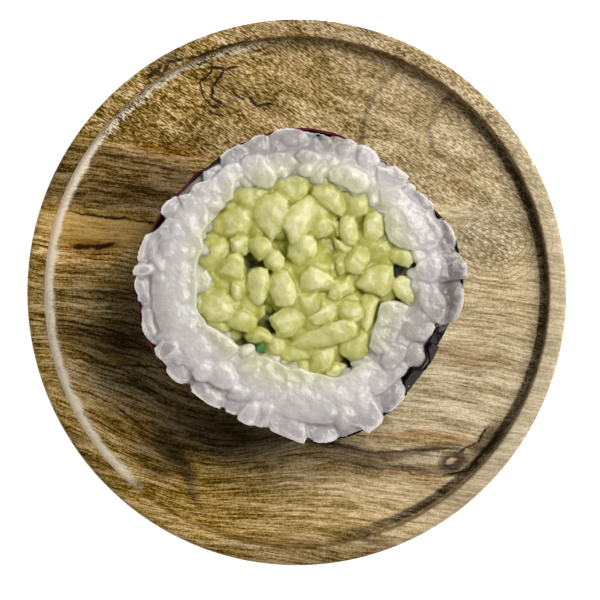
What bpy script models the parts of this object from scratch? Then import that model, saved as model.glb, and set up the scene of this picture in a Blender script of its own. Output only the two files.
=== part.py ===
"""Cucumber maki roll standing in a small round wooden dish.

Lengths are metres and +Z is up. The origin is the middle of the dish's underside.
The roll stands on one cut end. Its rice and its cucumber each run from cut to cut,
inside one turn of seaweed whose two ends lap over each other.
"""

from math import cos, pi, radians, sin, tau

import bmesh
import bpy
from mathutils import Vector, noise

MM = 0.001

# Pieces that touch in the real food are kept this far apart.
FIT_GAP = 0.3 * MM

# The dish: turned from one piece of wood, and a little wider across the grain (Y).
DISH_WIDTH = 80.0 * MM
DISH_DEPTH = 81.0 * MM
DISH_HEIGHT = 11.0 * MM
RECESS_DEPTH = 4.5 * MM
RIM_WIDTH = 2.6 * MM
FOOT_INSET = 1.2 * MM  # how far the side leans in from the rim to the foot
FOOT_ROUND = 1.8 * MM
RIM_OUTER_ROUND = 0.9 * MM
RIM_INNER_ROUND = 0.45 * MM
WALL_DRAFT = 0.15 * MM
WALL_FILLET = 2.0 * MM
DISH_STEPS = 72

# The roll: its middle on the dish's floor, its height from cut to cut, and its outline.
ROLL_CENTRE = Vector((0.4, 1.1)) * MM
ROLL_HEIGHT = 25.0 * MM
ROLL_RADIUS = 22.35 * MM
# The flats that the rolling mat leaves: waves round the roll, size, and where one peaks.
ROLL_WAVES = (
    (2, 0.63 * MM, radians(-8)),
    (3, 0.31 * MM, radians(-53)),
    (4, 0.72 * MM, radians(9)),
    (5, 0.32 * MM, radians(4)),
)

# The seaweed: one turn and a lap, with its top edge just under the cut face.
NORI_THICKNESS = 0.5 * MM
NORI_HEIGHT = 23.6 * MM
NORI_WAVER = 0.15 * MM
SEAM_ANGLE = radians(-62)
LAP_ANGLE = radians(38)
LAP_BLEND = radians(24)
LAP_GAP = 0.3 * MM
NORI_STEPS = 150

# The stretch beside the lap where no rice covers the seaweed's edge, which stands higher there.
BARE_ANGLE = radians(-31)
BARE_HALF_WIDTH = radians(14)
BARE_NORI_RISE = 1.2 * MM
BARE_RICE_SETBACK = 1.3 * MM

# The rice: cooked grains that bulge over the seaweed's edge at the cut.
RICE_LIP = 0.35 * MM
RICE_LIP_UNDERSIDE = NORI_HEIGHT + NORI_WAVER + FIT_GAP
RICE_LIP_SLOPE = 0.2 * MM
RICE_EDGE_ROUND = 0.4 * MM
GRAIN_PITCH = 3.4 * MM
GRAIN_RELIEF = 1.1 * MM
RICE_STEPS = 132
RICE_TOP_POINTS = 8

# The cucumber: finely cut pieces packed as one core, off the roll's middle.
FILLING_OFFSET = Vector((0.4, 1.7)) * MM
FILLING_RADIUS = 15.1 * MM
FILLING_WAVES = (
    (2, 0.75 * MM, radians(-10)),
    (4, 0.55 * MM, radians(16)),
    (5, 0.5 * MM, radians(-3)),
)
FILLING_SINK = 0.2 * MM
DICE_PITCH = 4.2 * MM
DICE_RELIEF = 2.0 * MM
FILLING_EDGE_ROUND = 0.8 * MM
FILLING_STEPS = 72
FILLING_RINGS = 14

WOOD = ("mango wood", (0.43, 0.29, 0.13, 1.0), 0.55)
NORI = ("roasted seaweed", (0.018, 0.010, 0.012, 1.0), 0.45)
RICE = ("cooked rice", (0.76, 0.74, 0.76, 1.0), 0.35)
CUCUMBER = ("cucumber flesh", (0.58, 0.62, 0.20, 1.0), 0.35)


def smoothstep(x):
    """0 below 0, 1 above 1, and a smooth rise between."""
    x = min(1.0, max(0.0, x))
    return x * x * (3 - 2 * x)


def polar(radius, angle):
    return Vector((radius * cos(angle), radius * sin(angle)))


def arc(centre, radius, start, end, steps):
    """Points on an arc in the (radius, height) plane, both ends included."""
    return [
        (
            centre[0] + radius * cos(start + (end - start) * i / steps),
            centre[1] + radius * sin(start + (end - start) * i / steps),
        )
        for i in range(steps + 1)
    ]


def wavy(radius, waves, angle):
    """The radius at an angle of a circle that a few waves press out of round."""
    return radius + sum(size * cos(n * (angle - peak)) for n, size, peak in waves)


def lumps(point, pitch, layer):
    """1 on top of a packed lump, falling to 0 in the creases. layer picks another packing."""
    nearest = noise.voronoi(Vector((point.x / pitch, point.y / pitch, layer)))[0][0]
    return max(0.0, 1 - (nearest / 0.9) ** 2)


def material_of(name, colour, roughness):
    material = bpy.data.materials.new(name)
    material.use_nodes = True
    shader = material.node_tree.nodes["Principled BSDF"]
    shader.inputs["Base Color"].default_value = colour
    shader.inputs["Roughness"].default_value = roughness
    shader.inputs["Metallic"].default_value = 0.0
    return material


def object_from(name, bm, finish, parent=None):
    """Makes a named object of the finished mesh, with its faces pointing out."""
    bmesh.ops.recalc_face_normals(bm, faces=bm.faces[:])
    mesh = bpy.data.meshes.new(name)
    bm.to_mesh(mesh)
    bm.free()
    mesh.shade_smooth()
    mesh.set_sharp_from_angle(angle=radians(50))
    mesh.materials.append(material_of(*finish))
    made = bpy.data.objects.new(name, mesh)
    bpy.context.scene.collection.objects.link(made)
    made.parent = parent
    return made


def bridge(bm, first, second):
    """Quads between two closed loops with the same number of vertices."""
    for i in range(len(first)):
        j = (i + 1) % len(first)
        bm.faces.new((first[i], first[j], second[j], second[i]))


# ---------------------------------------------------------------- the dish


def dish_profile():
    """The dish's section from the middle of its underside out, over the rim, and to the floor."""
    radius = DISH_WIDTH / 2
    foot = radius - FOOT_INSET
    inner = radius - RIM_WIDTH
    floor = DISH_HEIGHT - RECESS_DEPTH
    fillet = inner - WALL_DRAFT - WALL_FILLET
    return (
        [(0.0, 0.0)]
        + arc((foot - FOOT_ROUND, FOOT_ROUND), FOOT_ROUND, -pi / 2, 0, 4)
        + arc(
            (radius - RIM_OUTER_ROUND, DISH_HEIGHT - RIM_OUTER_ROUND),
            RIM_OUTER_ROUND,
            0,
            pi / 2,
            4,
        )
        + arc(
            (inner + RIM_INNER_ROUND, DISH_HEIGHT - RIM_INNER_ROUND),
            RIM_INNER_ROUND,
            pi / 2,
            pi,
            3,
        )
        + arc((fillet, floor + WALL_FILLET), WALL_FILLET, 0, -pi / 2, 5)
        + [(0.0, floor)]
    )


def make_dish():
    bm = bmesh.new()
    points = [bm.verts.new((r, 0, z)) for r, z in dish_profile()]
    edges = [bm.edges.new(pair) for pair in zip(points, points[1:])]
    bmesh.ops.spin(
        bm,
        geom=points + edges,
        cent=(0, 0, 0),
        axis=(0, 0, 1),
        angle=tau,
        steps=DISH_STEPS,
        use_merge=True,
    )
    bmesh.ops.remove_doubles(bm, verts=bm.verts[:], dist=1e-6)
    bmesh.ops.scale(bm, vec=(1, DISH_DEPTH / DISH_WIDTH, 1), verts=bm.verts[:])
    return object_from("board", bm, WOOD)


# ---------------------------------------------------------------- the seaweed


def roll_outline(angle):
    return wavy(ROLL_RADIUS, ROLL_WAVES, angle)


def bareness(angle):
    """1 in the middle of the stretch where the seaweed's edge is bare, 0 away from it."""
    off = (angle - BARE_ANGLE + pi) % tau - pi
    return smoothstep(2 * (1 - abs(off) / BARE_HALF_WIDTH))


def nori_middle(turn):
    """Radius of the sheet's middle, after this turn from its inner end, which lies under."""
    under = 1 - smoothstep((turn - LAP_ANGLE) / LAP_BLEND)
    return (
        roll_outline(SEAM_ANGLE + turn)
        - NORI_THICKNESS / 2
        - under * (NORI_THICKNESS + LAP_GAP)
    )


def nori_top(angle):
    waver = NORI_WAVER * sin(5 * angle + 1) * sin(2 * angle)
    return NORI_HEIGHT + waver + BARE_NORI_RISE * bareness(angle)


def make_nori(roll):
    """A strip with a rectangular section, laid round the roll from its inner end to its outer."""
    bm = bmesh.new()
    rows = []
    for i in range(NORI_STEPS + 1):
        turn = (tau + LAP_ANGLE) * i / NORI_STEPS
        angle = SEAM_ANGLE + turn
        middle = nori_middle(turn)
        inside = polar(middle - NORI_THICKNESS / 2, angle)
        outside = polar(middle + NORI_THICKNESS / 2, angle)
        top = nori_top(angle)
        rows.append(
            [
                bm.verts.new((*inside, 0)),
                bm.verts.new((*outside, 0)),
                bm.verts.new((*outside, top)),
                bm.verts.new((*inside, top)),
            ]
        )
    for first, second in zip(rows, rows[1:]):
        bridge(bm, first, second)
    bm.faces.new(rows[0])
    bm.faces.new(rows[-1])
    return object_from("nori", bm, NORI, roll)


# ---------------------------------------------------------------- the rice


def filling_edge(angle):
    """A point on the cucumber core's outline, at this angle round the core's middle."""
    return FILLING_OFFSET + polar(wavy(FILLING_RADIUS, FILLING_WAVES, angle), angle)


def rice_hole(angle):
    radius = wavy(FILLING_RADIUS, FILLING_WAVES, angle) + FIT_GAP
    return FILLING_OFFSET + polar(radius, angle)


def rice_wall(angle):
    """Radius of the rice inside the seaweed, clear of the step at the sheet's inner end."""
    step = tau / RICE_STEPS
    nearby = [(angle + k * step - SEAM_ANGLE) % tau for k in (-1, 0, 1)]
    inner_face = min(nori_middle(turn) for turn in nearby) - NORI_THICKNESS / 2
    return inner_face - FIT_GAP


def rice_height(point):
    return ROLL_HEIGHT + GRAIN_RELIEF * (lumps(point, GRAIN_PITCH, 3.0) - 0.7)


def rice_edge(angle):
    """Radius of the rice at the cut: over the seaweed's edge, or short of it where that is bare."""
    wall = rice_wall(angle)
    lip = roll_outline(angle) + RICE_LIP * (0.4 + lumps(polar(wall, angle), GRAIN_PITCH, 7.0))
    bare = bareness(angle)
    return lip * (1 - bare) + (wall - BARE_RICE_SETBACK) * bare


def rice_section(angle):
    """The ring of rice cut at one angle: a closed loop of points, from the hole's foot outwards."""
    hole = rice_hole(angle)
    wall = polar(rice_wall(angle), angle)
    edge = polar(rice_edge(angle), angle)
    loop = [
        (*hole, 0),
        (*wall, 0),
        (*wall, RICE_LIP_UNDERSIDE),
        (*edge, RICE_LIP_UNDERSIDE + RICE_LIP_SLOPE),
    ]
    for i in range(RICE_TOP_POINTS):
        point = edge.lerp(hole, i / (RICE_TOP_POINTS - 1))
        at_edge = i in (0, RICE_TOP_POINTS - 1)
        loop.append((*point, rice_height(point) - RICE_EDGE_ROUND * at_edge))
    return loop


def make_rice(roll):
    bm = bmesh.new()
    loops = [
        [bm.verts.new(point) for point in rice_section(tau * i / RICE_STEPS)]
        for i in range(RICE_STEPS)
    ]
    for first, second in zip(loops, loops[1:] + loops[:1]):
        bridge(bm, first, second)
    return object_from("rice", bm, RICE, roll)


# ---------------------------------------------------------------- the cucumber


def cucumber_height(point):
    return ROLL_HEIGHT - FILLING_SINK + DICE_RELIEF * (lumps(point, DICE_PITCH, 11.0) - 0.7)


def make_cucumber(roll):
    """A core with a flat foot, upright sides and a lumpy cut face, made of rings from its middle."""
    bm = bmesh.new()
    middle = bm.verts.new((*FILLING_OFFSET, cucumber_height(FILLING_OFFSET)))
    rings = []
    for ring in range(1, FILLING_RINGS + 1):
        share = ring / FILLING_RINGS
        points = [
            FILLING_OFFSET.lerp(filling_edge(tau * i / FILLING_STEPS), share)
            for i in range(FILLING_STEPS)
        ]
        rounding = FILLING_EDGE_ROUND * (ring == FILLING_RINGS)
        rings.append([bm.verts.new((*p, cucumber_height(p) - rounding)) for p in points])
    rings.append([bm.verts.new((v.co.x, v.co.y, 0)) for v in rings[-1]])
    for i in range(FILLING_STEPS):
        bm.faces.new((middle, rings[0][i], rings[0][(i + 1) % FILLING_STEPS]))
    for first, second in zip(rings, rings[1:]):
        bridge(bm, first, second)
    bm.faces.new(rings[-1])
    return object_from("cucumber", bm, CUCUMBER, roll)


def main():
    for old in list(bpy.data.objects):
        bpy.data.objects.remove(old)
    make_dish()
    roll = bpy.data.objects.new("roll_foot", None)
    bpy.context.scene.collection.objects.link(roll)
    roll.location = (*ROLL_CENTRE, DISH_HEIGHT - RECESS_DEPTH + FIT_GAP)
    make_nori(roll)
    make_rice(roll)
    make_cucumber(roll)


main()
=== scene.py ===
"""The looks of a cucumber maki roll standing in a small round wooden dish.

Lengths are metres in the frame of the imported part, and MM turns millimetres into them.
The sections follow the food as it is put together: the dish, the seaweed, the rice, the
cucumber, and then the table and the lights.
"""

from math import atan2, cos, pi, radians, sin, sqrt, tau
from random import Random

import bpy
import numpy as np
from mathutils import Matrix, Vector, noise


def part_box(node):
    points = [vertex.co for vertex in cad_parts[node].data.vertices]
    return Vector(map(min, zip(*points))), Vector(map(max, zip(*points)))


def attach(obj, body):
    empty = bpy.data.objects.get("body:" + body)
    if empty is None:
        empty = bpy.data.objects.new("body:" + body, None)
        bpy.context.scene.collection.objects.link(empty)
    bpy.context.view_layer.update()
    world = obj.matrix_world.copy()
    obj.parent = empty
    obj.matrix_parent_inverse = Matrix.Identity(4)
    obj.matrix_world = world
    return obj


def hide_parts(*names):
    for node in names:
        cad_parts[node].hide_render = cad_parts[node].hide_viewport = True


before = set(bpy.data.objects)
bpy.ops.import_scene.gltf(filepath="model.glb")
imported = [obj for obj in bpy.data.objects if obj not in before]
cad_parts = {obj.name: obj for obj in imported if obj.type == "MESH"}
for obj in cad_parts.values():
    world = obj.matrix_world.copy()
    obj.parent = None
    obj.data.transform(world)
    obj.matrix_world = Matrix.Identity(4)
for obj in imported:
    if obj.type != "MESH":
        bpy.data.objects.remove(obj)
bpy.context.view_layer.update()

# Vector noise starts from the clock unless it is given a seed.
noise.seed_set(4)

# ------------------------------------------------------------------ the dish
# One small round dish, turned from a single slice of mango wood: a low rim with a flat top,
# a short wall that runs out into the floor on a fillet, and a flat underside. It is oiled
# and not lacquered, so the pores stay open; the soft shine on the fillet is a pale painted highlight.

MM = 0.001

dish_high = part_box("board")[1]
dish_radius = dish_high.x
dish_height = dish_high.z
dish_floor = dish_height - 4.5 * MM
dish_rim = 2.6 * MM


def start_clean():
    """Leaves edit mode with nothing selected."""
    if bpy.context.object and bpy.context.object.mode != "OBJECT":
        bpy.ops.object.mode_set(mode="OBJECT")
    bpy.ops.object.select_all(action="DESELECT")


def corner(centre, radius, start, end, steps):
    """Points round a rounded corner of a section, both ends included."""
    angles = [radians(start + (end - start) * i / steps) for i in range(steps + 1)]
    return [(centre[0] + radius * cos(a), centre[1] + radius * sin(a)) for a in angles]


inner = dish_radius - dish_rim
foot = dish_radius - 1.2 * MM
dish_section = (
    corner((foot - 1.8 * MM, 1.8 * MM), 1.8 * MM, -90, 0, 8)
    + corner((dish_radius - 0.9 * MM, dish_height - 0.9 * MM), 0.9 * MM, 0, 90, 8)
    + corner((inner + 0.45 * MM, dish_height - 0.45 * MM), 0.45 * MM, 90, 180, 6)
    + corner((inner - 2.15 * MM, dish_floor + 2.0 * MM), 2.0 * MM, 0, -90, 12)
)

start_clean()
bpy.ops.mesh.primitive_circle_add(vertices=240, radius=dish_section[0][0], fill_type="NGON")
dish = bpy.context.object
dish.name = "dish"
bpy.ops.object.mode_set(mode="EDIT")
bpy.ops.mesh.select_all(action="SELECT")
for (radius, height), (next_radius, next_height) in zip(dish_section, dish_section[1:]):
    bpy.ops.mesh.extrude_region_move(
        TRANSFORM_OT_translate={"value": (0, 0, next_height - height)}
    )
    grow = next_radius / radius
    bpy.ops.transform.resize(value=(grow, grow, 1), center_override=(0, 0, 0))
for _ in range(4):
    bpy.ops.mesh.inset(thickness=dish_radius / 6)
bpy.ops.mesh.select_all(action="SELECT")
bpy.ops.mesh.normals_make_consistent(inside=False)
bpy.ops.transform.resize(value=(1, dish_high.y / dish_radius, 1), center_override=(0, 0, 0))
bpy.ops.object.mode_set(mode="OBJECT")
bpy.ops.object.shade_smooth_by_angle(angle=radians(40))


def linear(hex_colour):
    """A colour socket's value for an sRGB hex colour such as '#c8a878'."""
    parts = [int(hex_colour[i : i + 2], 16) / 255 for i in (1, 3, 5)]
    return [p / 12.92 if p <= 0.04045 else ((p + 0.055) / 1.055) ** 2.4 for p in parts] + [1.0]


def add(material, kind, inputs=None, **settings):
    """Adds a node. Each input, by its name or in order, is given a value, or the socket or
    the node that feeds it."""
    tree = material.node_tree
    made = tree.nodes.new("ShaderNode" + kind)
    for name, value in settings.items():
        setattr(made, name, value)
    named = inputs.items() if isinstance(inputs, dict) else enumerate(inputs or ())
    for name, value in named:
        if isinstance(value, bpy.types.Node):
            value = next(output for output in value.outputs if output.enabled)
        if isinstance(value, bpy.types.NodeSocket):
            tree.links.new(value, made.inputs[name])
        else:
            made.inputs[name].default_value = value
    return made


def new_material(name):
    """A material and its surface shader."""
    material = bpy.data.materials.new(name)
    material.use_nodes = True
    return material, material.node_tree.nodes["Principled BSDF"]


# Oiled mango wood: tan sapwood over brown, spalted heartwood, with open pores that show as short
# dark dashes along the grain. Two cuts of grain meet in the slice, and the oil gives a satin shine.
wood, wood_shader = new_material("oiled mango wood")
wood_place = add(wood, "TexCoord").outputs["Object"]
in_mm = (1000, 1000, 1000)  # the scale that turns Object coordinates into millimetres
flat_place = add(wood, "Mapping", {"Vector": wood_place, "Scale": in_mm}).outputs[0]


def shifted(place, size, reach, detail):
    """The place, pushed about by noise: size is the waves' length and reach their height, in mm."""
    waves = add(wood, "TexNoise", {"Vector": place, "Scale": 1 / size, "Detail": detail})
    shift = add(wood, "VectorMath", {0: waves.outputs[1], 1: (0.5, 0.5, 0.5)}, operation="SUBTRACT")
    inputs = {0: shift.outputs[0], 1: (reach, reach, reach), 2: place}
    return add(wood, "VectorMath", inputs, operation="MULTIPLY_ADD").outputs[0]


swayed = shifted(flat_place, 13, 2.2, 1)
frayed = shifted(swayed, 1.3, 0.9, 2)


# The settings of a smooth step between two values.
smooth = {"interpolation_type": "SMOOTHSTEP", "clamp": False}


def oval(material, place, x, y, length, width, turn, soft, strength=1.0):
    """A mask, its strength inside an oval in millimetres and 0 outside, with a soft edge."""
    reach = (1 + soft) / 2
    inputs = {
        "Vector": place,
        "Location": (x, y, 0),
        "Rotation": (0, 0, radians(turn)),
        "Scale": (length * reach, width * reach, 9999),
    }
    inside = add(material, "Mapping", inputs, vector_type="TEXTURE").outputs[0]
    depth = add(material, "TexGradient", {"Vector": inside}, gradient_type="SPHERICAL").outputs[1]
    edge = {"Value": depth, "From Max": soft / reach, "To Max": strength}
    return add(material, "MapRange", edge, **smooth)


def fibres(place, turn, length, width, detail, offset=0.0):
    """Noise drawn out along the grain, one fibre length by width in millimetres."""
    inputs = {
        "Vector": place,
        "Location": (offset, offset, offset),
        "Rotation": (0, 0, radians(turn)),
        "Scale": (length, width, width * 3),
    }
    along = add(wood, "Mapping", inputs, vector_type="TEXTURE").outputs[0]
    return add(wood, "TexNoise", {"Vector": along, "Scale": 1, "Detail": detail}).outputs[0]


def blend(*parts):
    """The sum of masks, each with its weight."""
    total = 0.0
    for mask, weight in parts:
        total = add(wood, "Math", [mask, weight, total], operation="MULTIPLY_ADD")
    return total


def overlap(mask, *others):
    """The product of masks, which is full only where all of them are."""
    for other in others:
        mask = add(wood, "Math", [mask, other], operation="MULTIPLY")
    return mask


height = add(wood, "SeparateXYZ", {"Vector": flat_place}).outputs

# The lower, straighter cut of the grain, which swings round a knot at the lower left.
bend = oval(wood, flat_place, -15, -21, 26, 20, -20, 0.9)
bend_shift = add(wood, "CombineXYZ", {"Y": add(wood, "Math", [bend, 5.0], operation="MULTIPLY")})
bent = add(wood, "VectorMath", [swayed, bend_shift], operation="ADD")
grains_of_wood = add(wood, "TexNoise", {"Vector": flat_place, "Scale": 1 / 0.3, "Detail": 0})
grit = add(wood, "MapRange", [grains_of_wood, 0.3, 0.7], **smooth)
low_bands = add(wood, "MapRange", [fibres(bent, -10, 13, 1.5, 1), 0.36, 0.64], **smooth)
low_streaks = add(wood, "MapRange", [fibres(bent, -9, 5.5, 0.36, 1, 7), 0.37, 0.63], **smooth)
low_fine = add(wood, "MapRange", [fibres(bent, -7, 1.8, 0.17, 0, 3), 0.36, 0.64], **smooth)
low_tone = blend((low_bands, 0.22), (low_streaks, 0.33), (low_fine, 0.22), (grit, 0.23))
low_pores = add(wood, "MapRange", [fibres(bent, -8, 1.5, 0.19, 0, 11), 0.61, 0.72], **smooth)

# The upper cut runs steeper, and its pores are shorter and closer.
high_bands = add(wood, "MapRange", [fibres(swayed, -24, 8, 2.2, 1, 21), 0.36, 0.64], **smooth)
high_fine = add(wood, "MapRange", [fibres(swayed, -30, 0.8, 0.2, 0, 2), 0.34, 0.66], **smooth)
high_tone = blend((high_bands, 0.3), (high_fine, 0.48), (grit, 0.22))
high_pores = add(wood, "MapRange", [fibres(swayed, -30, 0.7, 0.22, 0, 9), 0.52, 0.62], **smooth)

across = add(wood, "VectorMath", {0: frayed, 1: (0.187, 1, 0)}, operation="DOT_PRODUCT")
speckled = oval(wood, frayed, 29.5, 8.3, 13, 10, 20, 0.5)
upper = add(
    wood,
    "Math",
    [add(wood, "MapRange", [across.outputs["Value"], 16.9, 18.1], **smooth), speckled],
    operation="MAXIMUM",
)

# Stains, and one painted shadow: x, y, length, width, turn, softness, strength, colour.
stains_and_shadow = [
    # The first two only make the wood darker towards the left and paler towards the right.
    (-36, 0, 34, 90, 0, 0.9, 0.6, "#7c5f2e"),
    (34, 4, 50, 60, 0, 0.9, 0.6, "#b59c6a"),
    (30, -16, 40, 22, -6, 0.6, 0.7, "#a8926c"),
    (-29, 17, 34, 9.5, -8, 0.2, 0.9, "#6b5230"),
    (-27, 14.6, 30, 4.2, -8, 0.4, 0.7, "#5a4422"),
    (-30, 8.2, 21, 8.6, -8, 0.25, 0.95, "#a98852"),
    (-31, 7.0, 9, 2.6, -3, 0.8, 0.9, "#87561c"),
    (-30, -2, 16, 3.4, -10, 0.6, 0.8, "#8d7850"),
    (-28, -7, 18, 5, -10, 0.6, 0.8, "#533f24"),
    (-27, -13.5, 14, 4.4, -18, 0.7, 0.8, "#867252"),
    (-19.5, -24.8, 10, 6.5, -25, 0.6, 0.6, "#5a4524"),
    (-24, -31, 22, 5, -38, 0.5, 0.7, "#5f4626"),
    (-11, -28.5, 13, 6, -25, 0.5, 0.8, "#ab8338"),
    (3, -31.2, 20, 6, -10, 0.6, 0.7, "#ad9160"),
    (-20.5, -21.6, 8, 2.2, -14, 0.6, 0.8, "#967436"),
    (-4, -33, 44, 12, -8, 0.6, 0.8, "#a3803c"),
    (10, -24.4, 34, 4.6, -6, 0.7, 0.4, "#6f5430"),
    (9.5, -23.4, 17, 1.5, -6, 0.5, 0.85, "#513a1e"),
    (14, -25.7, 17, 1.3, -9, 0.5, 0.8, "#513a1e"),
    (20.5, -23.2, 9, 1.4, 5, 0.5, 0.8, "#4a3519"),
    (20, -21.6, 13, 2.0, -6, 0.7, 0.85, "#9f7434"),
    (18.5, -27.2, 9, 1.2, -12, 0.7, 0.85, "#a37436"),
    (28.4, -22.2, 8, 2.6, 48, 0.6, 0.85, "#4f3616"),
    (-18, 21.2, 13, 2.4, -10, 0.6, 0.85, "#835517"),
    (26, -10, 10, 2.6, -8, 0.8, 0.7, "#8b632d"),
    # Painted shadow: deepens the roll's cast shadow on the floor at its lower left.
    (-11, -21.5, 17, 6.5, -8, 0.7, 0.8, "#33260f"),
    (28, 9.5, 10, 8, 0, 0.5, 0.6, "#9f8f6b"),
    (24.5, 16.5, 3, 5, 30, 0.7, 0.6, "#946f3c"),
    (-10.3, 30.4, 5.5, 6, 40, 0.6, 0.9, "#4a3417"),
    (-5, 28.2, 6, 2.4, -20, 0.6, 0.85, "#452f14"),
    (-19.3, 33.6, 7, 2.8, 40, 0.6, 0.85, "#4a361b"),
    (23.3, -25.5, 4.4, 3, 15, 0.4, 0.95, "#3a2811"),
    (22.9, -25.2, 1.5, 0.8, 20, 0.5, 0.8, "#b08a50"),
    (16, -33.6, 11, 1.4, 34, 0.8, 0.4, "#7a5e32"),
    (-2, 30, 34, 12, -4, 0.7, 0.6, "#9c7b3d"),
    (3, -38.6, 44, 5, 0, 0.5, 0.6, "#6f5328"),
    (0, 39, 36, 4.2, 0, 0.5, 0.6, "#7e6133"),
    (-18.8, -23.4, 6.4, 3.2, -50, 0.5, 0.75, "#3a2912"),
    (-17.0, -25.8, 6.0, 2.2, -60, 0.5, 0.7, "#422f16"),
    (-20.2, -26.4, 4.2, 1.8, 20, 0.5, 0.6, "#4a371c"),
    (-15.8, -29.0, 6.6, 1.1, -65, 0.6, 0.55, "#4a3619"),
    (-21.7, -22.4, 4.2, 1.3, -30, 0.5, 0.6, "#4a3619"),
]
colour = linear("#9a7c48")
for x, y, length, width, turn, soft, strength, patch_colour in stains_and_shadow:
    rough = frayed if soft < 0.7 else swayed
    mask = oval(wood, rough, x, y, length, width, turn, soft, strength)
    colour = add(wood, "Mix", {0: mask, 6: colour, 7: linear(patch_colour)}, data_type="RGBA")

# Dark spalt lines, each its strength, its thickness and the points that it runs through.
spalt_lines = [
    (1.1, 0.4, (-34.8, -4), (-30, -5), (-24, -6.6)),
    (1.1, 0.35, (-34.2, -9.4), (-27.7, -11), (-20.3, -11.5)),
    (1.1, 0.4, (-32.4, -14.8), (-27.7, -17.1), (-23.2, -20.4)),
    (1, 0.4, (-33, 0.3), (-22, -0.8)),
    (1.3, 0.45, (-33.3, 12.4), (-24.4, 10.9), (-21, 10.2)),
    (1.6, 0.75, (-33.2, 7.3), (-30.5, 7), (-27.4, 7.2)),
    (1.6, 0.4, (-8.4, 33.6), (-10.1, 33.2), (-12, 33.5), (-12.9, 32.3), (-14.1, 31.3), (-14, 30.2)),
    (1.6, 0.4, (-14, 30.2), (-13.5, 29.1), (-12.6, 28.2), (-11.5, 27.9)),
    (1.6, 0.4, (-10.4, 33), (-11.1, 32), (-12.3, 30.5), (-12.3, 29.3), (-10.8, 28.2)),
    (1.4, 0.4, (-12.9, 27.4), (-10.7, 26.7)),
    (1.4, 0.45, (-7, 29.1), (-5.8, 27.7), (-4, 28.2)),
    (1.1, 0.4, (-9.6, 31.2), (-9, 29.6), (-7.6, 28.6)),
    (1.2, 0.45, (-21.9, 31.6), (-19.6, 33.4), (-16, 34.6), (-12, 35.8), (-7.2, 37.4)),
    (1.2, 0.4, (-19.8, 32.2), (-18.4, 33.8)),
    (0.9, 0.4, (-1, -22.5), (10, -23.3), (24.4, -23.6)),
    (0.8, 0.35, (2, -24.7), (14, -26), (21, -27.4)),
    (0.6, 0.9, (9.3, -36), (13.8, -37.3)),
    (0.6, 0.7, (21, -29.5), (23.5, -31)),
    (0.3, 0.3, (17, -15), (30, -17.2)),
    (0.7, 0.9, (-34.5, -20.5), (-31.5, -22)),
    (0.5, 1.0, (14.8, 33), (11.6, 29.2), (9.9, 24.5), (9.9, 21)),
    (0.5, 0.9, (22.8, 29.6), (20.4, 27.3), (19.5, 24), (20.4, 20.8), (23.8, 17.9)),
    (1.3, 0.45, (22, -27.4), (25.4, -27), (28, -24), (30.4, -20.6)),
    (1.2, 0.4, (24.2, -24.2), (27, -22.4), (28.6, -20)),
]
lines = 0.0
for strength, thickness, *points in spalt_lines:
    for (x1, y1), (x2, y2) in zip(points, points[1:]):
        run = sqrt((x2 - x1) ** 2 + (y2 - y1) ** 2) * 1.25
        turn = atan2(y2 - y1, x2 - x1) * 180 / pi
        x, y = (x1 + x2) / 2, (y1 + y2) / 2
        mask = oval(wood, frayed, x, y, run, thickness, turn, 0.6, strength)
        lines = add(wood, "Math", [mask, lines], operation="MAXIMUM")

# Growth lines that loop: x, y, length, width, turn, how many lines, and how much of them shows.
loops = [
    (-15, -18, 16, 11, 30, 4, 0.8),
    (30, 7, 17, 12, 10, 9, 0.8),
    (23.2, -25.6, 5.2, 3.6, -20, 3, 0.9),
]
dotted = add(wood, "Math", [high_fine, 0.7, 0.3], operation="MULTIPLY_ADD")
for x, y, length, width, turn, count, strength in loops:
    inputs = {
        "Vector": frayed,
        "Location": (x, y, 0),
        "Rotation": (0, 0, radians(turn)),
        "Scale": (length / 2, width / 2, 999),
    }
    inside = add(wood, "Mapping", inputs, vector_type="TEXTURE")
    off = add(wood, "VectorMath", [inside], operation="LENGTH")
    ripple = add(wood, "Math", [off, 0.5 / count], operation="PINGPONG")
    line = add(wood, "MapRange", [ripple, 0.5 / count - 0.3 / length, 0.5 / count], **smooth)
    line = overlap(line, add(wood, "MapRange", [off, 1.05, 0.95], **smooth), dotted, strength)
    lines = add(wood, "Math", [lines, line], operation="MAXIMUM")

plain_tone = add(wood, "Mix", {0: upper, 2: low_tone, 3: high_tone})
rightwards = add(wood, "MapRange", [height[0], -30, 22], **smooth)
out = add(wood, "VectorMath", [flat_place, (1, 1, 0)], operation="MULTIPLY")
out = add(wood, "VectorMath", [out], operation="LENGTH")
on_rim = add(wood, "MapRange", [out, inner / MM - 0.1, inner / MM + 0.3], **smooth)
even = oval(wood, frayed, -29, 9.5, 20, 6, -8, 0.4)
contrast = blend((rightwards, -0.75), (overlap(on_rim, rightwards), 0.2), (1.0, 1.55))
contrast = overlap(contrast, add(wood, "Math", [even, -0.7, 1], operation="MULTIPLY_ADD"))
off_middle = add(wood, "Math", [plain_tone, 0.5], operation="SUBTRACT")
tone = add(wood, "Math", [off_middle, contrast, 0.5], operation="MULTIPLY_ADD")
tone = add(wood, "Math", [tone, 0.0], operation="MAXIMUM")
tone = add(wood, "Math", [tone, 1.15], operation="MINIMUM")
pores = add(wood, "Mix", {0: upper, 2: overlap(low_pores, 0.5), 3: high_pores})
pores = overlap(pores, add(wood, "Math", [rightwards, -0.4, 0.95], operation="MULTIPLY_ADD"))
inputs = {
    "Color": colour,
    "Hue": 0.507,
    "Saturation": blend((tone, -0.5), (rightwards, -0.24), (1.0, 1.27)),
    "Value": blend((tone, 2.3), (1.0, 0.22)),
}
light_wood = add(wood, "HueSaturation", inputs)
dark_wood = add(wood, "HueSaturation", {"Color": colour, "Saturation": 1.25, "Value": 0.25})
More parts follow.
